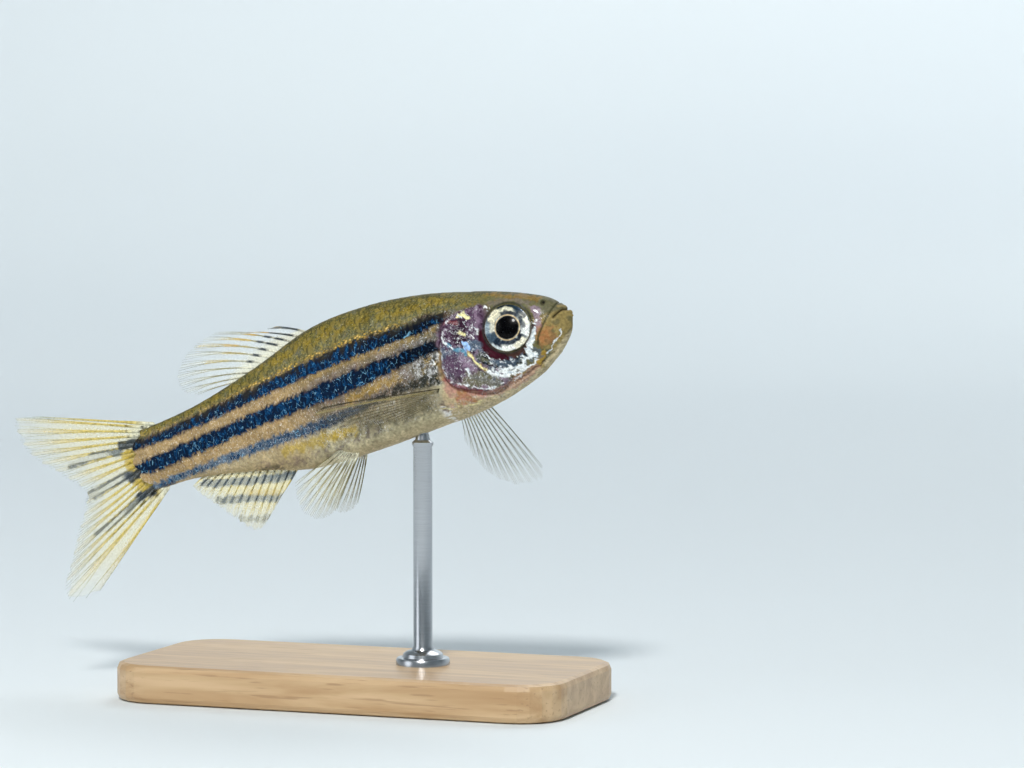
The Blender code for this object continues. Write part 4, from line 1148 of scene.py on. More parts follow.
def build_scales(finish):
    """Overlapping round scales in rows along the body, as one mesh."""
    rng = np.random.default_rng(11)
    root, side, median = all_roots()
    count = len(root)
    each = (slice(None), None, None)
    along, across = np.meshgrid(np.linspace(0, 1, SCALE_ALONG), np.linspace(-1, 1, SCALE_ACROSS),
                                indexing="ij")
    tilt = rng.uniform(-SCALE_TILT, SCALE_TILT, (count, 1, 1))
    grow = rng.uniform(1.0 - SCALE_VARIES, 1.0 + SCALE_VARIES, (count, 1, 1))

    # The outline of a scale laid on the body, wider and rounder towards its free edge
    half = ROW_PITCH * SCALE_HALF * grow * np.sqrt(1.0 - SCALE_NARROWS * (1.0 - along) ** 2.6)
    reach = SCALE_ROOT + along * (SCALE_LENGTH - SCALE_ROUND * np.abs(across) ** 2.2)
    back = root[:, 0][each] + SCALE_PITCH * reach * grow + tilt * across
    on_middle = girth_at(back, np.where(root[:, 1] > 0, 0.0, math.pi)[each] + 0 * back)
    girth = np.where(median[each] > 0, on_middle, root[:, 1][each]) + across * half
    angle = angle_for(back, girth) * side[each]
    under, normal = surface(back, angle), outward(back, angle)

    # The root is tucked in, and the free edge stands up with a short skirt below it
    level = SCALE_LIFT * along * (1.0 - 0.4 * np.abs(across) ** 3)
    level = level - SCALE_TUCK * (along == 0.0) - SIDE_TUCK * (np.abs(across) > 0.99)
    lifted = under + normal * (level - SKIN_DEPTH + 0.02 + MEDIAN_LIFT * median[each])[..., None]
    skirt = lifted[:, -1:] - normal[:, -1:] * SKIRT
    skirt[..., 0] -= SKIRT
    full = np.concatenate([lifted, lifted[:, -1:], skirt], 1).reshape(count, -1, 3)
    size = full.shape[1]
    under = np.concatenate([under, under[:, -1:], under[:, -1:]], 1).reshape(-1, 3)
    girth = np.concatenate([girth, girth[:, -1:], girth[:, -1:]], 1).reshape(-1)
    girth = girth + FAR_SIDE * np.repeat(side > 0, size)
    local = np.stack([along, across], -1)
    local = np.concatenate([local, local[-1:], local[-1:] * (1.06, 1.0)]).reshape(-1, 2)
    local = np.concatenate([np.tile(local, (count, 1)), np.repeat(rng.random(count), size)[:, None]], 1)

    sheet = np.arange(size).reshape(SCALE_ALONG + 2, SCALE_ACROSS)
    near, far = (np.delete(part, SCALE_ALONG - 1, 0) for part in (sheet[:-1], sheet[1:]))
    quads = np.stack([near[:, :-1], far[:, :-1], far[:, 1:], near[:, 1:]], -1).reshape(-1, 4)
    faces = np.arange(count)[each] * size + quads[None]
    faces = np.where(side[each] < 0, faces[..., ::-1], faces).reshape(-1, 4)
    made = make_mesh("scales", place(*full.reshape(-1, 3).T), [faces], finish)
    dress(made, under, girth, local=local)

    # Each scale's patch of the map lies where its root is on the skin's own map
    rings = HEAD_STATIONS + TRUNK_STATIONS + ROOT_STATIONS
    row = np.searchsorted(skin_stations(), root[:, 0]) / (rings - 1)
    turn = (side * angle_for(root[:, 0], root[:, 1]) / math.tau) % 1.0
    edges = (np.linspace(-0.5, 0.5, number) for number in (SCALE_ALONG + 2, SCALE_ACROSS))
    patch = np.stack(np.meshgrid(*edges, indexing="ij"), -1).reshape(1, -1, 2) * UV_PATCH
    where = (np.stack([row, turn], -1)[:, None] + patch).reshape(-1, 2)
    store_map(made, where[faces.ravel()])
    return made


class Tree:
    """Short calls for building a material from nodes."""

    def __init__(self, name):
        self.material = bpy.data.materials.new(name)
        self.material.use_nodes = True
        self.nodes = self.material.node_tree.nodes
        self.links = self.material.node_tree.links
        self.shader = self.nodes["Principled BSDF"]

    def put(self, node, socket, value):
        """Sets a node's input to a number or colour, or links it to another node's output."""
        if isinstance(value, bpy.types.NodeSocket):
            self.links.new(value, node.inputs[socket])
        elif isinstance(value, tuple) and node.inputs[socket].type == "RGBA":
            node.inputs[socket].default_value = (*value, 1.0)
        else:
            node.inputs[socket].default_value = value

    def add(self, kind, output, **inputs):
        """A node with its inputs set by name, or by number where the name is like i0."""
        node = self.nodes.new(kind)
        for socket, value in inputs.items():
            numbered = socket[0] == "i" and socket[1:].isdigit()
            self.put(node, int(socket[1:]) if numbered else socket.replace("_", " "), value)
        return node.outputs[output]

    def set(self, **values):
        for socket, value in values.items():
            self.put(self.shader, socket.replace("_", " "), value)

    def attribute(self, name, output="Fac"):
        node = self.nodes.new("ShaderNodeAttribute")
        node.attribute_name = name
        return node.outputs[output]

    def scaled(self, vector, factors):
        node = self.nodes.new("ShaderNodeVectorMath")
        node.operation = "MULTIPLY"
        self.put(node, 0, vector)
        node.inputs[1].default_value = factors
        return node.outputs[0]

    def noise(self, vector, scale, detail=3.0, distortion=0.0):
        return self.add("ShaderNodeTexNoise", "Fac", Vector=vector, Scale=scale, Detail=detail,
                        Distortion=distortion)

    def step(self, value, low, high, start=0.0, end=1.0):
        node = self.nodes.new("ShaderNodeMapRange")
        node.interpolation_type = "SMOOTHSTEP"
        for number, given in enumerate((value, low, high, start, end)):
            self.put(node, number, given)
        return node.outputs["Result"]

    def math(self, operation, *values):
        node = self.nodes.new("ShaderNodeMath")
        node.operation = operation
        for number, value in enumerate(values):
            self.put(node, number, value)
        return node.outputs[0]

    def times(self, *values):
        result = values[0]
        for value in values[1:]:
            result = self.math("MULTIPLY", result, value)
        return result

    def mix(self, amount, under, over, blend="MIX"):
        node = self.nodes.new("ShaderNodeMix")
        node.data_type = "RGBA"
        node.blend_type = blend
        for number, value in ((0, amount), (6, under), (7, over)):
            self.put(node, number, value)
        return node.outputs[2]

    def layers(self, colour, *steps):
        """Lays colours over others one after another, each given with the factors of its amount."""
        for over, *factors in steps:
            colour = self.mix(self.times(*factors), colour, over)
        return colour

    def shaded(self, colour, amount, low, high):
        """Darkens or lightens a colour by a factor between low and high."""
        grey = self.step(amount, 0.3, 0.7, low, high)
        factor = self.add("ShaderNodeCombineColor", 0, i0=grey, i1=grey, i2=grey)
        return self.mix(1.0, colour, factor, "MULTIPLY")

    def away(self, value, middle):
        """Distance of a value from another."""
        return self.math("ABSOLUTE", self.math("SUBTRACT", value, middle))

    def cells(self, vector, scale, output="Distance", feature="F1"):
        node = self.nodes.new("ShaderNodeTexVoronoi")
        node.feature = feature
        self.put(node, "Vector", vector)
        self.put(node, "Scale", scale)
        return node.outputs[output]

    def bump(self, height, strength, distance):
        return self.add("ShaderNodeBump", "Normal", Strength=strength, Distance=distance, Height=height)


def skin_finish(name, scaly):
    """Wet skin: its painted colours broken up by painted glints of azure, copper and silver."""
    tree = Tree(name)
    spot = tree.attribute("spot", "Vector")
    dark, azure, copper, olive, silver, sparkle, bead = (tree.attribute(mask) for mask in MASKS)
    colour = tree.shaded(tree.attribute("paint", "Color"), tree.noise(spot, 1.9, 3.0), 0.80, 1.20)
    speck_noise = tree.noise(spot, 3.6, 1.0)

    # Blue of the stripes: upright flecks over the dark ground, less towards a scale's free edge
    wanted = tree.step(azure, 0.0, 1.0, 0.76, 0.46)
    if scaly:
        split = tree.nodes.new("ShaderNodeSeparateXYZ")
        tree.put(split, 0, tree.attribute("local", "Vector"))
        along, across, seed = split.outputs
        off = tree.math("ABSOLUTE", across)
        rim = tree.times(along, tree.math("SUBTRACT", 1.0, tree.times(off, off, 0.22)))
        wanted = tree.math("ADD", wanted, tree.step(seed, 0.0, 1.0, -0.10, 0.08))
        wanted = tree.math("ADD", wanted, tree.step(rim, 0.74, 0.94, 0.0, 0.08))
    over = tree.math("SUBTRACT", tree.noise(tree.scaled(spot, (1.6, 1.0, 0.75)), 1.25, 3.0, 0.5), wanted)
    fine = tree.noise(tree.scaled(spot, (2.6, 2.6, 1.3)), 1.3, 2.0, 0.5)
    lines = tree.cells(tree.scaled(spot, (1.5, 1.0, 0.8)), 0.75, feature="DISTANCE_TO_EDGE")
    colour = tree.layers(
        colour,
        (DEEP_BLUE, dark, tree.step(over, 0.0, 0.08)),
        (AZURE_CORE, tree.step(over, 0.06, 0.16), tree.step(fine, 0.50, 0.62), azure, 0.85),
        (AZURE_THREAD, tree.step(lines, 0.035, 0.012), tree.step(tree.noise(spot, 0.8, 2.0), 0.52, 0.62),
         tree.step(azure, 0.2, 0.8), 0.7),
        # Painted glints on the blue
        (AZURE_FLASH, azure, tree.step(speck_noise, 0.73, 0.78), 0.9))

    # Copper between the stripes with painted glints, flecked olive on the back, dark specks and painted
    # glints on the cheek and behind it
    ribs = tree.noise(tree.scaled(spot, (3.4, 3.0, 1.5)), 1.1, 2.0)
    flecks = tree.noise(spot, 2.8, 1.0)
    hair = tree.away(tree.noise(spot, 0.9, 3.0, 1.5), 0.5)
    squiggle = tree.times(tree.step(hair, 0.020, 0.006), tree.step(tree.noise(spot, 0.7, 1.0), 0.48, 0.56),
                          0.85)
    glitter = tree.math("MAXIMUM", tree.step(tree.noise(spot, 3.1, 2.0, 1.0), 0.62, 0.68), squiggle)
    colour = tree.layers(
        colour,
        (COPPER_LIGHT, copper, tree.step(ribs, 0.54, 0.70), 0.4),
        (COPPER_DARK, copper, tree.step(ribs, 0.46, 0.34), 0.4),
        # Painted glints between the stripes
        (COPPER_GLINT, copper, tree.step(speck_noise, 0.65, 0.72), 0.65),
        (OLIVE_FLECK, olive, tree.step(flecks, 0.56, 0.66), 0.6),
        (OLIVE_PIT, olive, tree.step(flecks, 0.42, 0.32), 0.7),
        (OLIVE_SPECK, olive, tree.step(speck_noise, 0.68, 0.76), 0.7),
        (GLITTER_DARK, sparkle, tree.step(fine, 0.44, 0.32), 0.65),
        # Painted silvery glints, and the squiggles drawn in the same colour
        (GLINT_AND_SQUIGGLE, sparkle, glitter, 0.9))

    # What follows each scale: its own shade, a patch and a rim on the back, a drawn V in the stripes
    if scaly:
        colour = tree.shaded(colour, tree.step(seed, 0.0, 1.0, 0.3, 0.7), 0.88, 1.12)
        uneven = tree.noise(spot, 0.8, 2.0)
        vee = tree.away(tree.math("ADD", tree.times(off, 0.6), along), 0.86)
        colour = tree.layers(
            colour,
            (OLIVE_PATCH, olive, tree.step(rim, 0.40, 0.70), tree.step(uneven, 0.46, 0.62), 0.5),
            (OLIVE_RIM, olive, tree.step(rim, 0.84, 0.95), tree.step(uneven, 0.35, 0.6, 0.1, 0.8)),
            (AZURE_VEE, tree.step(vee, 0.04, 0.015), tree.step(tree.noise(spot, 0.9, 2.0), 0.50, 0.60),
             azure, 0.6))

    # Golden beads along the first stripe, each with a painted highlight at its middle
    beads = tree.cells(tree.scaled(spot, (1.0, 1.0, 1.5)), 1.35)
    seeded = tree.times(tree.step(bead, 0.2, 0.7), tree.step(tree.noise(spot, 1.1, 1.0), 0.34, 0.46))
    colour = tree.layers(
        colour,
        (BEAD_GOLD, seeded, tree.step(beads, 0.56, 0.32), 0.9),
        (BEAD_HIGHLIGHT, seeded, tree.step(beads, 0.28, 0.14), 0.8))
    tree.set(Base_Color=colour, Roughness=tree.step(fine, 0.3, 0.7, 0.30, 0.5),
             Metallic=tree.math("MAXIMUM", tree.times(silver, 0.35), tree.times(azure, 0.2)),
             Specular_IOR_Level=0.05, Coat_Weight=0.03, Coat_Roughness=0.12,
             Normal=tree.bump(speck_noise, 0.2, 0.00003))
    return tree.material


def tube_faces(rings, sides):
    """Vertex numbers of a tube, ring by ring, and the faces between its rings."""
    index = np.arange(rings * sides).reshape(rings, sides)
    following = np.roll(index, -1, axis=1)
    return index, np.stack([index[:-1], following[:-1], following[1:], index[1:]], -1).reshape(-1, 4)


def lathe(name, profile, centre, axis, sides, finish):
    """Shape turned round an axis, from a profile of (radius, height) in metres."""
    axis = Vector(axis).normalized()
    across = np.array(axis.orthogonal().normalized())
    third = np.array(axis.cross(Vector(across)))
    turn = np.arange(sides) * math.tau / sides
    round_about = np.cos(turn)[:, None] * across + np.sin(turn)[:, None] * third
    vertices = [np.array(centre) + np.array(axis) * height + round_about * radius
                for radius, height in profile]
    index, quads = tube_faces(len(profile), sides)
    return make_mesh(name, np.concatenate(vertices), [quads, index[:1, ::-1], index[-1:]], finish)


def eye_finish():
    tree = Tree("iris")
    spot = tree.attribute("spot", "Vector")
    fine = tree.noise(spot, 2.2, 2.0)
    shine = tree.attribute("shine")
    tree.set(Base_Color=tree.shaded(tree.attribute("paint", "Color"), fine, 0.88, 1.12),
             Roughness=tree.step(fine, 0.3, 0.7, 0.22, 0.3), Metallic=tree.times(shine, 0.3),
             Specular_IOR_Level=0.04, Coat_Weight=0.09, Coat_Roughness=0.03)
    return tree.material


def iris_colour(radius, turn):
    """Colours of the eye by radius and direction, 0 towards the snout and 90 upwards."""
    share = (radius - PUPIL_RADIUS) / (EYE_RADIUS - PUPIL_RADIUS)
    x, y = radius * np.cos(np.radians(turn)), radius * np.sin(np.radians(turn))
    rough = mottle(x, y, 1.1, 81) - 0.5
    streak = grain(turn / 9.0, radius * 0.6, 1.0, 85) - 0.5
    share_torn = share + rough * 0.3 + streak * 0.12
    colour = lay(plain(IRIS_BRIGHT, radius.shape), IRIS_DULL, smooth(0.45, 0.6, 0.5 + rough + streak))
    for middle, half, low, high, paint_colour, strength in IRIS_PATCHES:
        gap = np.abs((turn - middle + 180.0) % 360.0 - 180.0) / half
        patch = smooth(1.25, 0.75, gap + rough * 0.9 + streak * 0.5)
        patch = patch * smooth(low - 0.1, low + 0.05, share_torn)
        patch = patch * smooth(high + 0.1, high - 0.05, share_torn)
        colour = lay(colour, shade(*paint_colour), patch * strength)
    pupil = smooth(0.03, -0.02, share)
    colour = layers(
        colour,
        (IRIS_BRONZE, smooth(0.9, 0.98, share) * 0.85),
        (IRIS_EDGE, smooth(0.97, 1.03, share)),
        (IRIS_RING, peak(share, 0.07, 0.045)),
        (PUPIL, pupil))
    return colour, 1.0 - pupil


def eye_profile():
    """Back of the ball, bowl of the iris and dome of the pupil, as (radius, height) in percent."""
    edge = EYE_RADIUS - 0.1
    profile = [*EYE_BACK, (EYE_RADIUS, -0.12), (edge + 0.03, 0.02)]
    for step in range(1, IRIS_STEPS + 1):
        radius = edge - (edge - PUPIL_RADIUS) * step / IRIS_STEPS
        profile.append((radius, 0.06 + 0.40 * (1.0 - (radius / edge) ** 2) ** 0.8))
    top = profile[-1][1]
    for step in range(1, PUPIL_STEPS):
        radius = PUPIL_RADIUS * (1.0 - step / PUPIL_STEPS)
        dome = math.sqrt(LENS_CURVE ** 2 - radius ** 2) - math.sqrt(LENS_CURVE ** 2 - PUPIL_RADIUS ** 2)
        profile.append((radius, top - 0.04 + dome))
    return profile


def build_eye(side, word, finish):
    """Eyeball turned on the axis that the eye looks along, and painted by place on it."""
    axis = np.array(Vector(fish_to_world(-EYE_SLOPE, side, EYE_SLOPE)).normalized())
    centre = place(EYE_AT[0], side * EYE_OUT, EYE_AT[1])
    profile = eye_profile()
    in_metres = [(radius * PERCENT, height * PERCENT) for radius, height in profile]
    ball = lathe("eyeball_" + word, in_metres, centre, axis, EYE_SIDES, finish)
    radius, height = np.repeat(np.array(profile), EYE_SIDES, axis=0).T
    radius = np.where(height < -0.2, EYE_RADIUS * 1.1, radius)
    places = np.empty(len(ball.data.vertices) * 3)
    ball.data.vertices.foreach_get("co", places)
    flat = places.reshape(-1, 3) - centre
    forward, upward = (fish_to_world(*way) / PERCENT for way in ((-1.0, 0.0, 0.0), (0.0, 0.0, 1.0)))
    turn = np.degrees(np.arctan2(flat @ upward, flat @ forward))
    colour, shine = iris_colour(radius, turn)
    store(ball, "paint", colour)
    store(ball, "shine", shine)
    store(ball, "spot", flat / PERCENT)
    return ball


def tip_of(tip, index, spot):
    return curve(column(tip, index), spot)


def bow(reach):
    """Bow of a ray, 0 at both of its ends and 1 in its middle."""
    return 4.0 * reach * (1.0 - reach)


def median_point(base, tip, bulge):
    """A fin on the middle plane; its rays bow by the bulge, upwards where that is positive."""

    def point(spot, reach):
        root_back, root_up = base(spot)
        back = root_back + (tip_of(tip, 1, spot) - root_back) * reach
        up = root_up + (tip_of(tip, 2, spot) - root_up) * reach + curve(bulge, spot) * bow(reach)
        wave = 0.25 * np.sin(spot * 9.0 + 1.0) * reach ** 2
        return together(back, wave, up)

    return point


def dorsal_root(spot):
    back = curve(DORSAL_BASE, spot)
    return back, body_line(BACK_LINE, back) - 0.3


def anal_root(spot):
    back = curve(ANAL_BASE, spot)
    return back, body_line(BELLY_LINE, back) + 0.3


def caudal_root(spot):
    return tip_of(CAUDAL_ROOT, 1, spot), tip_of(CAUDAL_ROOT, 2, spot)


def folded_point(spot, reach):
    """The right pectoral, folded back along the flank."""
    roots, tips = ([tip_of(edge, index, spot) for index in (1, 2)] for edge in (FOLDED_BASE, FOLDED_TIP))
    back, up = (start + (end - start) * reach for start, end in zip(roots, tips))
    stand_off = 0.1 + (GAP_PERCENT + RAY_ROOM / 2 + FOLDED_LIFT * reach) * smooth(0.0, 0.3, reach)
    return together(back, -(flank(back, up) + stand_off), up)


def open_point(side, root, tip, depth):
    """A paired fin that stands away from the body, its rays bowed outwards."""

    def point(spot, reach):
        tips = [tip_of(tip, index, spot) for index in (1, 3, 2)]
        back, out, up = (start + (end - start) * reach for start, end in zip(root(spot), tips))
        return together(back, side * (out + depth * bow(reach)), up)

    return point


def spread_root(spot):
    back, up = tip_of(SPREAD_BASE, 1, spot), tip_of(SPREAD_BASE, 2, spot)
    return back, flank(back, up) - 0.2, up


def pelvic_root(spot):
    back, out = tip_of(PELVIC_BASE, 1, spot), tip_of(PELVIC_BASE, 2, spot)
    return back, out, underside(back, out) + 0.2


def fin_normal(point, spot, reach):
    step = 0.01
    along = point(spot, reach + step) - point(spot, reach - step)
    around = point(np.minimum(spot + step, 1.0), reach) - point(np.maximum(spot - step, 0.0), reach)
    return unit_normal(along, around)


class FinLook:
    """Colours of a fin: its rays, its web near and between them, and its markings.

    cover      how much the web hides beside a ray, between two rays and at its root
    streaky    how far the markings keep to the rays, beyond the reach given as solid
    fade       reach over which the fin comes out of the skin
    """

    def __init__(self, rays, webs, cover, bands=(), streaky=0.0, root=None, root_reach=0.4, solid=0.08,
                 fade=0.01):
        self.ray, self.tip = (np.array(colour) for colour in rays)
        self.web, self.clear = (np.array(colour) for colour in webs)
        self.root = self.web if root is None else np.array(root)
        self.cover, self.bands, self.streaky = cover, bands, streaky
        self.root_reach, self.solid, self.fade = root_reach, solid, fade

    def tint(self, places, reach, near, on_ray):
        """Colour and cover by place, reach and nearness to a ray, which is 1 on it."""
        back, up = places[..., 0], places[..., 2]
        if on_ray:
            colour = lay(plain(self.ray, back.shape), self.tip, smooth(0.45, 1.0, reach))
        else:
            colour = lay(plain(self.clear, back.shape), self.web, near)
        at_root = smooth(self.root_reach, self.root_reach * 0.3, reach)
        colour = lay(colour, self.root, at_root)
        near_cover, clear_cover, root_cover = self.cover
        cover = clear_cover + (near_cover - clear_cover) * near
        cover = cover * (1.0 - 0.8 * smooth(0.4, 1.0, reach))
        cover = np.maximum(cover, root_cover * at_root) * smooth(-0.01, self.fade * 1.6, reach)
        if on_ray and self.fade > 0.05:
            colour = lay(colour, FLESH, smooth(self.fade * 0.7, 0.0, reach))
        uneven = (mottle(back, up, 0.7, 91) - 0.5) * 1.1
        beyond = smooth(self.solid, self.solid + 0.12, reach)
        beside = 1.0 - self.streaky * (1.0 - smooth(0.1, 0.6, near)) * beyond
        for path, width, strength, ink in self.bands:
            away = distance(back, up, path) / width + uneven
            band = smooth(1.35, 0.65, away) * strength * beside
            colour = lay(colour, ink, band)
            cover = np.maximum(cover, band * 0.85)
        return colour, cover


def fin_lines(rays, forks):
    """For each line of a fin: the ray's place, and its (fork reach, sideways spread) steps."""
    room = 1.0 / (rays - 1)
    for number in range(rays):
        levels = forks[:1] if number in (0, rays - 1) else forks
        for branch in range(2 ** len(levels)):
            sides = [1 if (branch >> level) & 1 else -1 for level in range(len(levels))]
            yield number, [(fork, side * room * spread)
                           for fork, side, spread in zip(levels, sides, FORK_SPREAD)]


def build_rays(point, rays, forks, thickness, look, rng):
    """Jointed, forking tubes: their vertices, colours, side faces and end caps."""
    samples = np.linspace(0.0, 1.0, RAY_SAMPLES)
    turn = np.arange(RAY_SIDES) * math.tau / RAY_SIDES
    flat, wide = 0.7 * np.cos(turn)[None, :, None], np.sin(turn)[None, :, None]
    lengths = rng.uniform(0.965, 1.0, rays)
    vertices, colours = [], []
    for number, spread in fin_lines(rays, forks):
        reach = samples * lengths[number] * rng.uniform(0.985, 1.0)
        spots = np.full(RAY_SAMPLES, number / (rays - 1))
        radius = thickness * (OUTER_RAY if number == 0 else 1.0) * (1.0 - 0.8 * reach)
        for fork, amount in spread:
            spots = spots + amount * smooth(fork, 1.0, reach)
            radius = radius * (1.0 - 0.3 * smooth(fork - 0.05, fork + 0.15, reach))
        spots = np.clip(spots, 0.0, 1.0)
        middle, normal = point(spots, reach), fin_normal(point, spots, reach)
        tangent = np.gradient(middle, axis=0)
        across = np.cross(tangent / np.linalg.norm(tangent, axis=1, keepdims=True), normal)
        run = np.concatenate([[0.0], np.cumsum(np.linalg.norm(np.diff(middle, axis=0), axis=1))])
        joint = np.abs(np.sin(run / RAY_SEGMENT * math.pi)) ** 0.35
        radius = radius * (0.88 + 0.12 * joint) * smooth(-0.2, 1.0, reach / look.fade)
        rings = middle[:, None] + radius[:, None, None] * (flat * normal[:, None] + wide * across[:, None])
        colour, _ = look.tint(middle, reach, np.ones(RAY_SAMPLES), True)
        vertices.append(rings.reshape(-1, 3))
        colours.append(np.repeat(colour * (0.8 + 0.2 * joint)[:, None], RAY_SIDES, axis=0))
    index, tube = tube_faces(RAY_SAMPLES, RAY_SIDES)
    ends = np.stack([index[0][::-1], index[-1]])
    starts = np.arange(len(vertices))[:, None, None] * index.size
    return (np.concatenate(vertices), np.concatenate(colours), (starts + tube).reshape(-1, 4),
            (starts + ends).reshape(-1, RAY_SIDES))


def build_web(point, rays, look, rng, first):
    """Thin web, billowing between the rays: two sheets and their hem, as vertices, paint and faces."""
    columns = (rays - 1) * WEB_PER_RAY + 1
    spots = np.linspace(0.0, 1.0, columns)
    wave = np.sin(spots * (rays - 1) * math.pi)
    between = np.abs(wave)
    edge = 0.985 - 0.04 * between - 0.02 * rng.random(columns)
    reach = np.linspace(0.0, 1.0, WEB_ROWS)[:, None] * edge
    spots = np.broadcast_to(spots, reach.shape)
    sheet, normal = point(spots, reach), fin_normal(point, spots, reach)
    near = np.clip(1.0 - between * 1.15, 0, 1) + 0 * reach
    colour, cover = look.tint(sheet, reach, near, False)
    swing = wave * WEB_BILLOW * reach
    vertices = [(sheet + normal * (swing + offset)[..., None]).reshape(-1, 3)
                for offset in (WEB_HALF, -WEB_HALF)]
    size = reach.size
    front = first + np.arange(size).reshape(reach.shape)
    faces = np.stack([front[:-1, :-1], front[:-1, 1:], front[1:, 1:], front[1:, :-1]], -1).reshape(-1, 4)
    rim = np.concatenate([front[0, :-1], front[:-1, -1], front[-1, :0:-1], front[:0:-1, 0]])
    onward = np.roll(rim, -1)
    hem = np.stack([rim, rim + size, onward + size, onward], -1)
    return (np.concatenate(vertices), np.tile(colour.reshape(-1, 3), (2, 1)), np.tile(cover.ravel(), 2),
            [faces, (faces + size)[:, ::-1], hem])


def build_fin(name, node, point, rays, forks, thickness, look, finishes):
    """Rays in a thin clear web, as one mesh with two finishes."""
    rng = np.random.default_rng(len(name) * 13 + rays)
    ray_places, ray_paint, tubes, caps = build_rays(point, rays, forks, thickness, look, rng)
    web_places, web_paint, web_cover, web = build_web(point, rays, look, rng, len(ray_places))
    places = np.concatenate([ray_places, web_places])
    made = make_mesh(name, place(*places.T), [tubes, caps, *web], finishes[0])
    made.data.materials.append(finishes[1])
    store(made, "paint", np.concatenate([ray_paint, web_paint]))
    store(made, "cover", np.concatenate([np.ones(len(ray_places)), web_cover]))
    store(made, "spot", places)
    slots = np.ones(len(made.data.polygons), np.int32)
    slots[:len(tubes) + len(caps)] = 0
    made.data.polygons.foreach_set("material_index", slots)
    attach(made, "root")
    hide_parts(node)


def ray_finish():
    tree = Tree("fin_ray")
    fine = tree.noise(tree.attribute("spot", "Vector"), 2.0, 3.0)
    tree.set(Base_Color=tree.shaded(tree.attribute("paint", "Color"), fine, 0.7, 1.2),
             Roughness=tree.step(fine, 0.3, 0.7, 0.35, 0.55), Specular_IOR_Level=0.3)
    return tree.material


def web_finish():
    """Clear web: its markings cover more of what is behind it than the rest."""
    tree = Tree("fin_web")
    fine = tree.noise(tree.attribute("spot", "Vector"), 2.2, 3.0)
    alpha = tree.times(tree.attribute("cover"), tree.step(fine, 0.3, 0.7, 0.7, 1.1))
    tree.set(Base_Color=tree.attribute("paint", "Color"), Roughness=tree.step(fine, 0.3, 0.7, 0.3, 0.5),
             Specular_IOR_Level=0.2, Alpha=alpha)
    return tree.material


def build_fins():
    """Every fin as (piece, node, its surface, rays, reach of its forks, thickness of a ray, its look)."""
    finishes = (ray_finish(), web_finish())
    dorsal = FinLook((RAY_OLIVE, RAY_GREY), (FIN_WHITE, FIN_CLEAR), (0.5, 0.14, 0.6), DORSAL_BANDS,
                     streaky=0.95, root=FIN_WHITE, root_reach=0.35, solid=-0.3)
    anal = FinLook((RAY_GOLD, FIN_PALE), (FIN_CREAM, FIN_CREAM), (0.72, 0.5, 0.6), ANAL_BANDS, streaky=0.3)
    caudal = FinLook((RAY_YELLOW, RAY_PALE), (WEB_YELLOW, FIN_CREAM), (0.75, 0.3, 0.95), CAUDAL_BANDS,
                     streaky=0.6, root=FIN_PALE, root_reach=0.2, solid=0.3)
    folded = FinLook((FOLDED_RAY, FOLDED_RAY_TIP), (FOLDED_WEB, FOLDED_CLEAR), (0.36, 0.1, 0.12),
                     FOLDED_BANDS, fade=0.18)
    spread = FinLook((SPREAD_RAY, SPREAD_RAY_TIP), (FIN_PALE, FIN_CLEAR), (0.35, 0.1, 0.35))
    pelvic = FinLook((PELVIC_RAY, PELVIC_RAY_TIP), (FIN_CREAM, FIN_PALE), (0.5, 0.14, 0.35),
                     root=FIN_PALE, root_reach=0.25)
    fins = [
        ("dorsal_fin", "fin_dorsal", median_point(dorsal_root, DORSAL_TIP, DORSAL_BULGE),
         11, (0.25, 0.5), 0.2, dorsal),
        ("anal_fin", "fin_anal", median_point(anal_root, ANAL_TIP, ANAL_BULGE), 14, (0.42, 0.7), 0.22, anal),
        ("caudal_fin", "fin_caudal", median_point(caudal_root, CAUDAL_TIP, CAUDAL_BULGE),
         19, (0.2, 0.5), 0.34, caudal),
        ("pectoral_fin_right", "fin_pectoral_right", folded_point, 12, (0.3, 0.6), 0.06, folded),
        ("pectoral_fin_left", "fin_pectoral_left", open_point(1, spread_root, SPREAD_TIP, 0.8),
         12, (0.35, 0.65), 0.16, spread),
    ]
    for word, side in SIDES:
        point = open_point(side, pelvic_root, PELVIC_TIP, 0.5)
        fins.append(("pelvic_fin_" + word, "fin_pelvic_" + word, point, 9, (0.25, 0.55), 0.17, pelvic))
    for fin in fins:
        build_fin(*fin, finishes)


def build_fish():
    skin = build_skin(skin_finish("skin", False))
    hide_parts("head", "lower_jaw", "gill_cover_right", "gill_cover_left", "trunk", "tail")
    scales = build_scales(skin_finish("scale", True))
    for piece in (skin, scales):
        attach(piece, "root")
    iris = eye_finish()
    for word, side in SIDES:
        ball = build_eye(side, word, iris)
        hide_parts("eye_" + word)
        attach(ball, "root")
    build_fins()


def object_place(tree, factors):
    return tree.scaled(tree.nodes.new("ShaderNodeTexCoord").outputs["Object"], factors)


def wood_finish():
    """Pale maple: long soft grain with fine pores, under a satin finish."""
    tree = Tree("maple")
    broad = tree.noise(object_place(tree, (60.0, 700.0, 700.0)), 0.9, 4.0, 1.2)
    colour = tree.mix(tree.step(broad, 0.3, 0.7), shade(178, 142, 100), shade(208, 178, 138))
    pores = tree.noise(object_place(tree, (300.0, 5200.0, 5200.0)), 1.0, 2.0)
    colour = tree.mix(tree.step(pores, 0.58, 0.7, 0.0, 0.45), colour, shade(140, 104, 70))
    tree.set(Base_Color=colour, Roughness=tree.step(broad, 0.3, 0.7, 0.36, 0.5), Coat_Weight=0.2,
             Coat_Roughness=0.25, Normal=tree.bump(pores, 0.2, 0.00002))
    return tree.material


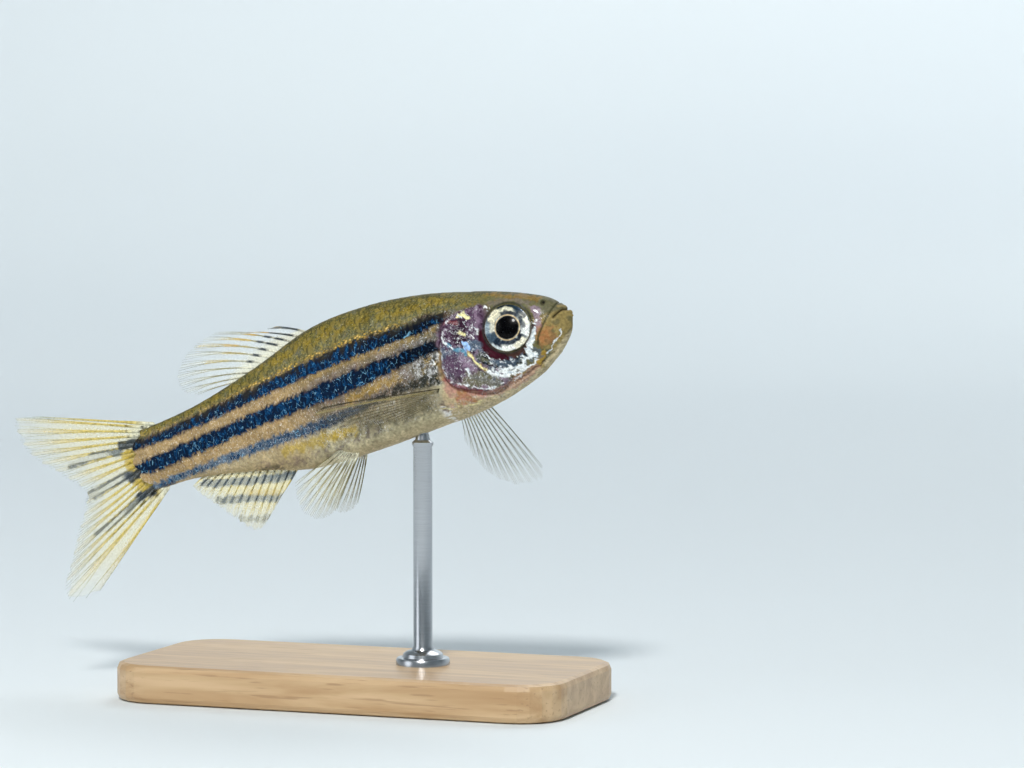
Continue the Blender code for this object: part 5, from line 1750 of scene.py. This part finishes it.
def steel_finish():
    """Turned steel, its fine tool marks running round the rod."""
    tree = Tree("steel")
    marks = tree.noise(object_place(tree, (500.0, 500.0, 60000.0)), 1.0, 2.0)
    colour = tree.mix(tree.step(marks, 0.3, 0.7), shade(174, 176, 180), shade(188, 190, 194))
    tree.set(Base_Color=colour, Metallic=1.0, Roughness=tree.step(marks, 0.3, 0.7, 0.22, 0.27))
    return tree.material


def build_stand():
    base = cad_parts["stand_base"]
    base.data.materials.clear()
    base.data.materials.append(wood_finish())
    low = BASE_HEIGHT - ROD_SINK
    top = place(ROD_STATION, 0.0, body_line(BELLY_LINE, ROD_STATION))[2]
    profile = [(radius, low + height) for radius, height in ROD_FOOT]
    profile += [(radius, top + height) for radius, height in ROD_HEAD]
    rod = lathe("stand_steel", profile, (ROD_AHEAD, 0.0, 0.0), (0.0, 0.0, 1.0), ROD_SIDES, steel_finish())
    rod.data.set_sharp_from_angle(angle=math.radians(35))
    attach(rod, "root")
    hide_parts("stand_rod")


def build_studio():
    """Pale floor that curves up all round into a backdrop, with soft lights."""
    tree = Tree("backdrop")
    cloud = tree.noise(object_place(tree, (1.0, 1.0, 1.0)), 2.2, 2.0)
    tree.set(Base_Color=tree.mix(tree.step(cloud, 0.3, 0.7), shade(224, 231, 235), shade(234, 240, 242)),
             Roughness=0.95, Specular_IOR_Level=0.0)
    profile = [(BOWL_RADIUS, BOWL_HEIGHT + BOWL_RIM)]
    for step in range(BOWL_STEPS, -1, -1):
        bend = step / BOWL_STEPS * math.pi / 2
        radius = FLOOR_RADIUS + (BOWL_RADIUS - FLOOR_RADIUS) * math.sin(bend)
        profile.append((radius, BOWL_HEIGHT * (1.0 - math.cos(bend))))
    profile += [(0.1, 0.0), (0.001, 0.0)]
    backdrop = lathe("backdrop", profile, (0.0, 0.0, -0.00002), (0.0, 0.0, 1.0), BOWL_SIDES, tree.material)
    for name, position, aim, size, power, tone in LAMPS:
        light = bpy.data.lights.new(name, "AREA")
        light.shape = "DISK"
        light.size = size
        light.energy = power
        light.color = tone
        lamp = bpy.data.objects.new(name, light)
        lamp.location = position
        lamp.rotation_euler = (Vector(position) - Vector(aim)).to_track_quat("Z", "Y").to_euler()
        bpy.context.scene.collection.objects.link(lamp)
    world = bpy.data.worlds.new("studio")
    world.use_nodes = True
    glow = world.node_tree.nodes["Background"]
    glow.inputs["Color"].default_value = WORLD_COLOUR
    glow.inputs["Strength"].default_value = WORLD_STRENGTH
    bpy.context.scene.world = world
    bpy.context.scene.view_settings.view_transform = "Standard"


def build_camera():
    back = Vector((math.sin(CAMERA_AROUND) * math.cos(CAMERA_ABOVE),
                   -math.cos(CAMERA_AROUND) * math.cos(CAMERA_ABOVE), math.sin(CAMERA_ABOVE)))
    lens = bpy.data.cameras.new("camera")
    lens.sensor_width = SENSOR
    lens.lens = SENSOR * CAMERA_DISTANCE / VIEW_WIDTH
    lens.clip_start = 0.01
    lens.clip_end = 10.0
    camera = bpy.data.objects.new("camera", lens)
    camera.location = Vector(CAMERA_TARGET) + back * CAMERA_DISTANCE
    camera.rotation_euler = back.to_track_quat("Z", "Y").to_euler()
    bpy.context.scene.collection.objects.link(camera)
    bpy.context.scene.camera = camera


build_camera()
build_fish()
build_stand()
build_studio()
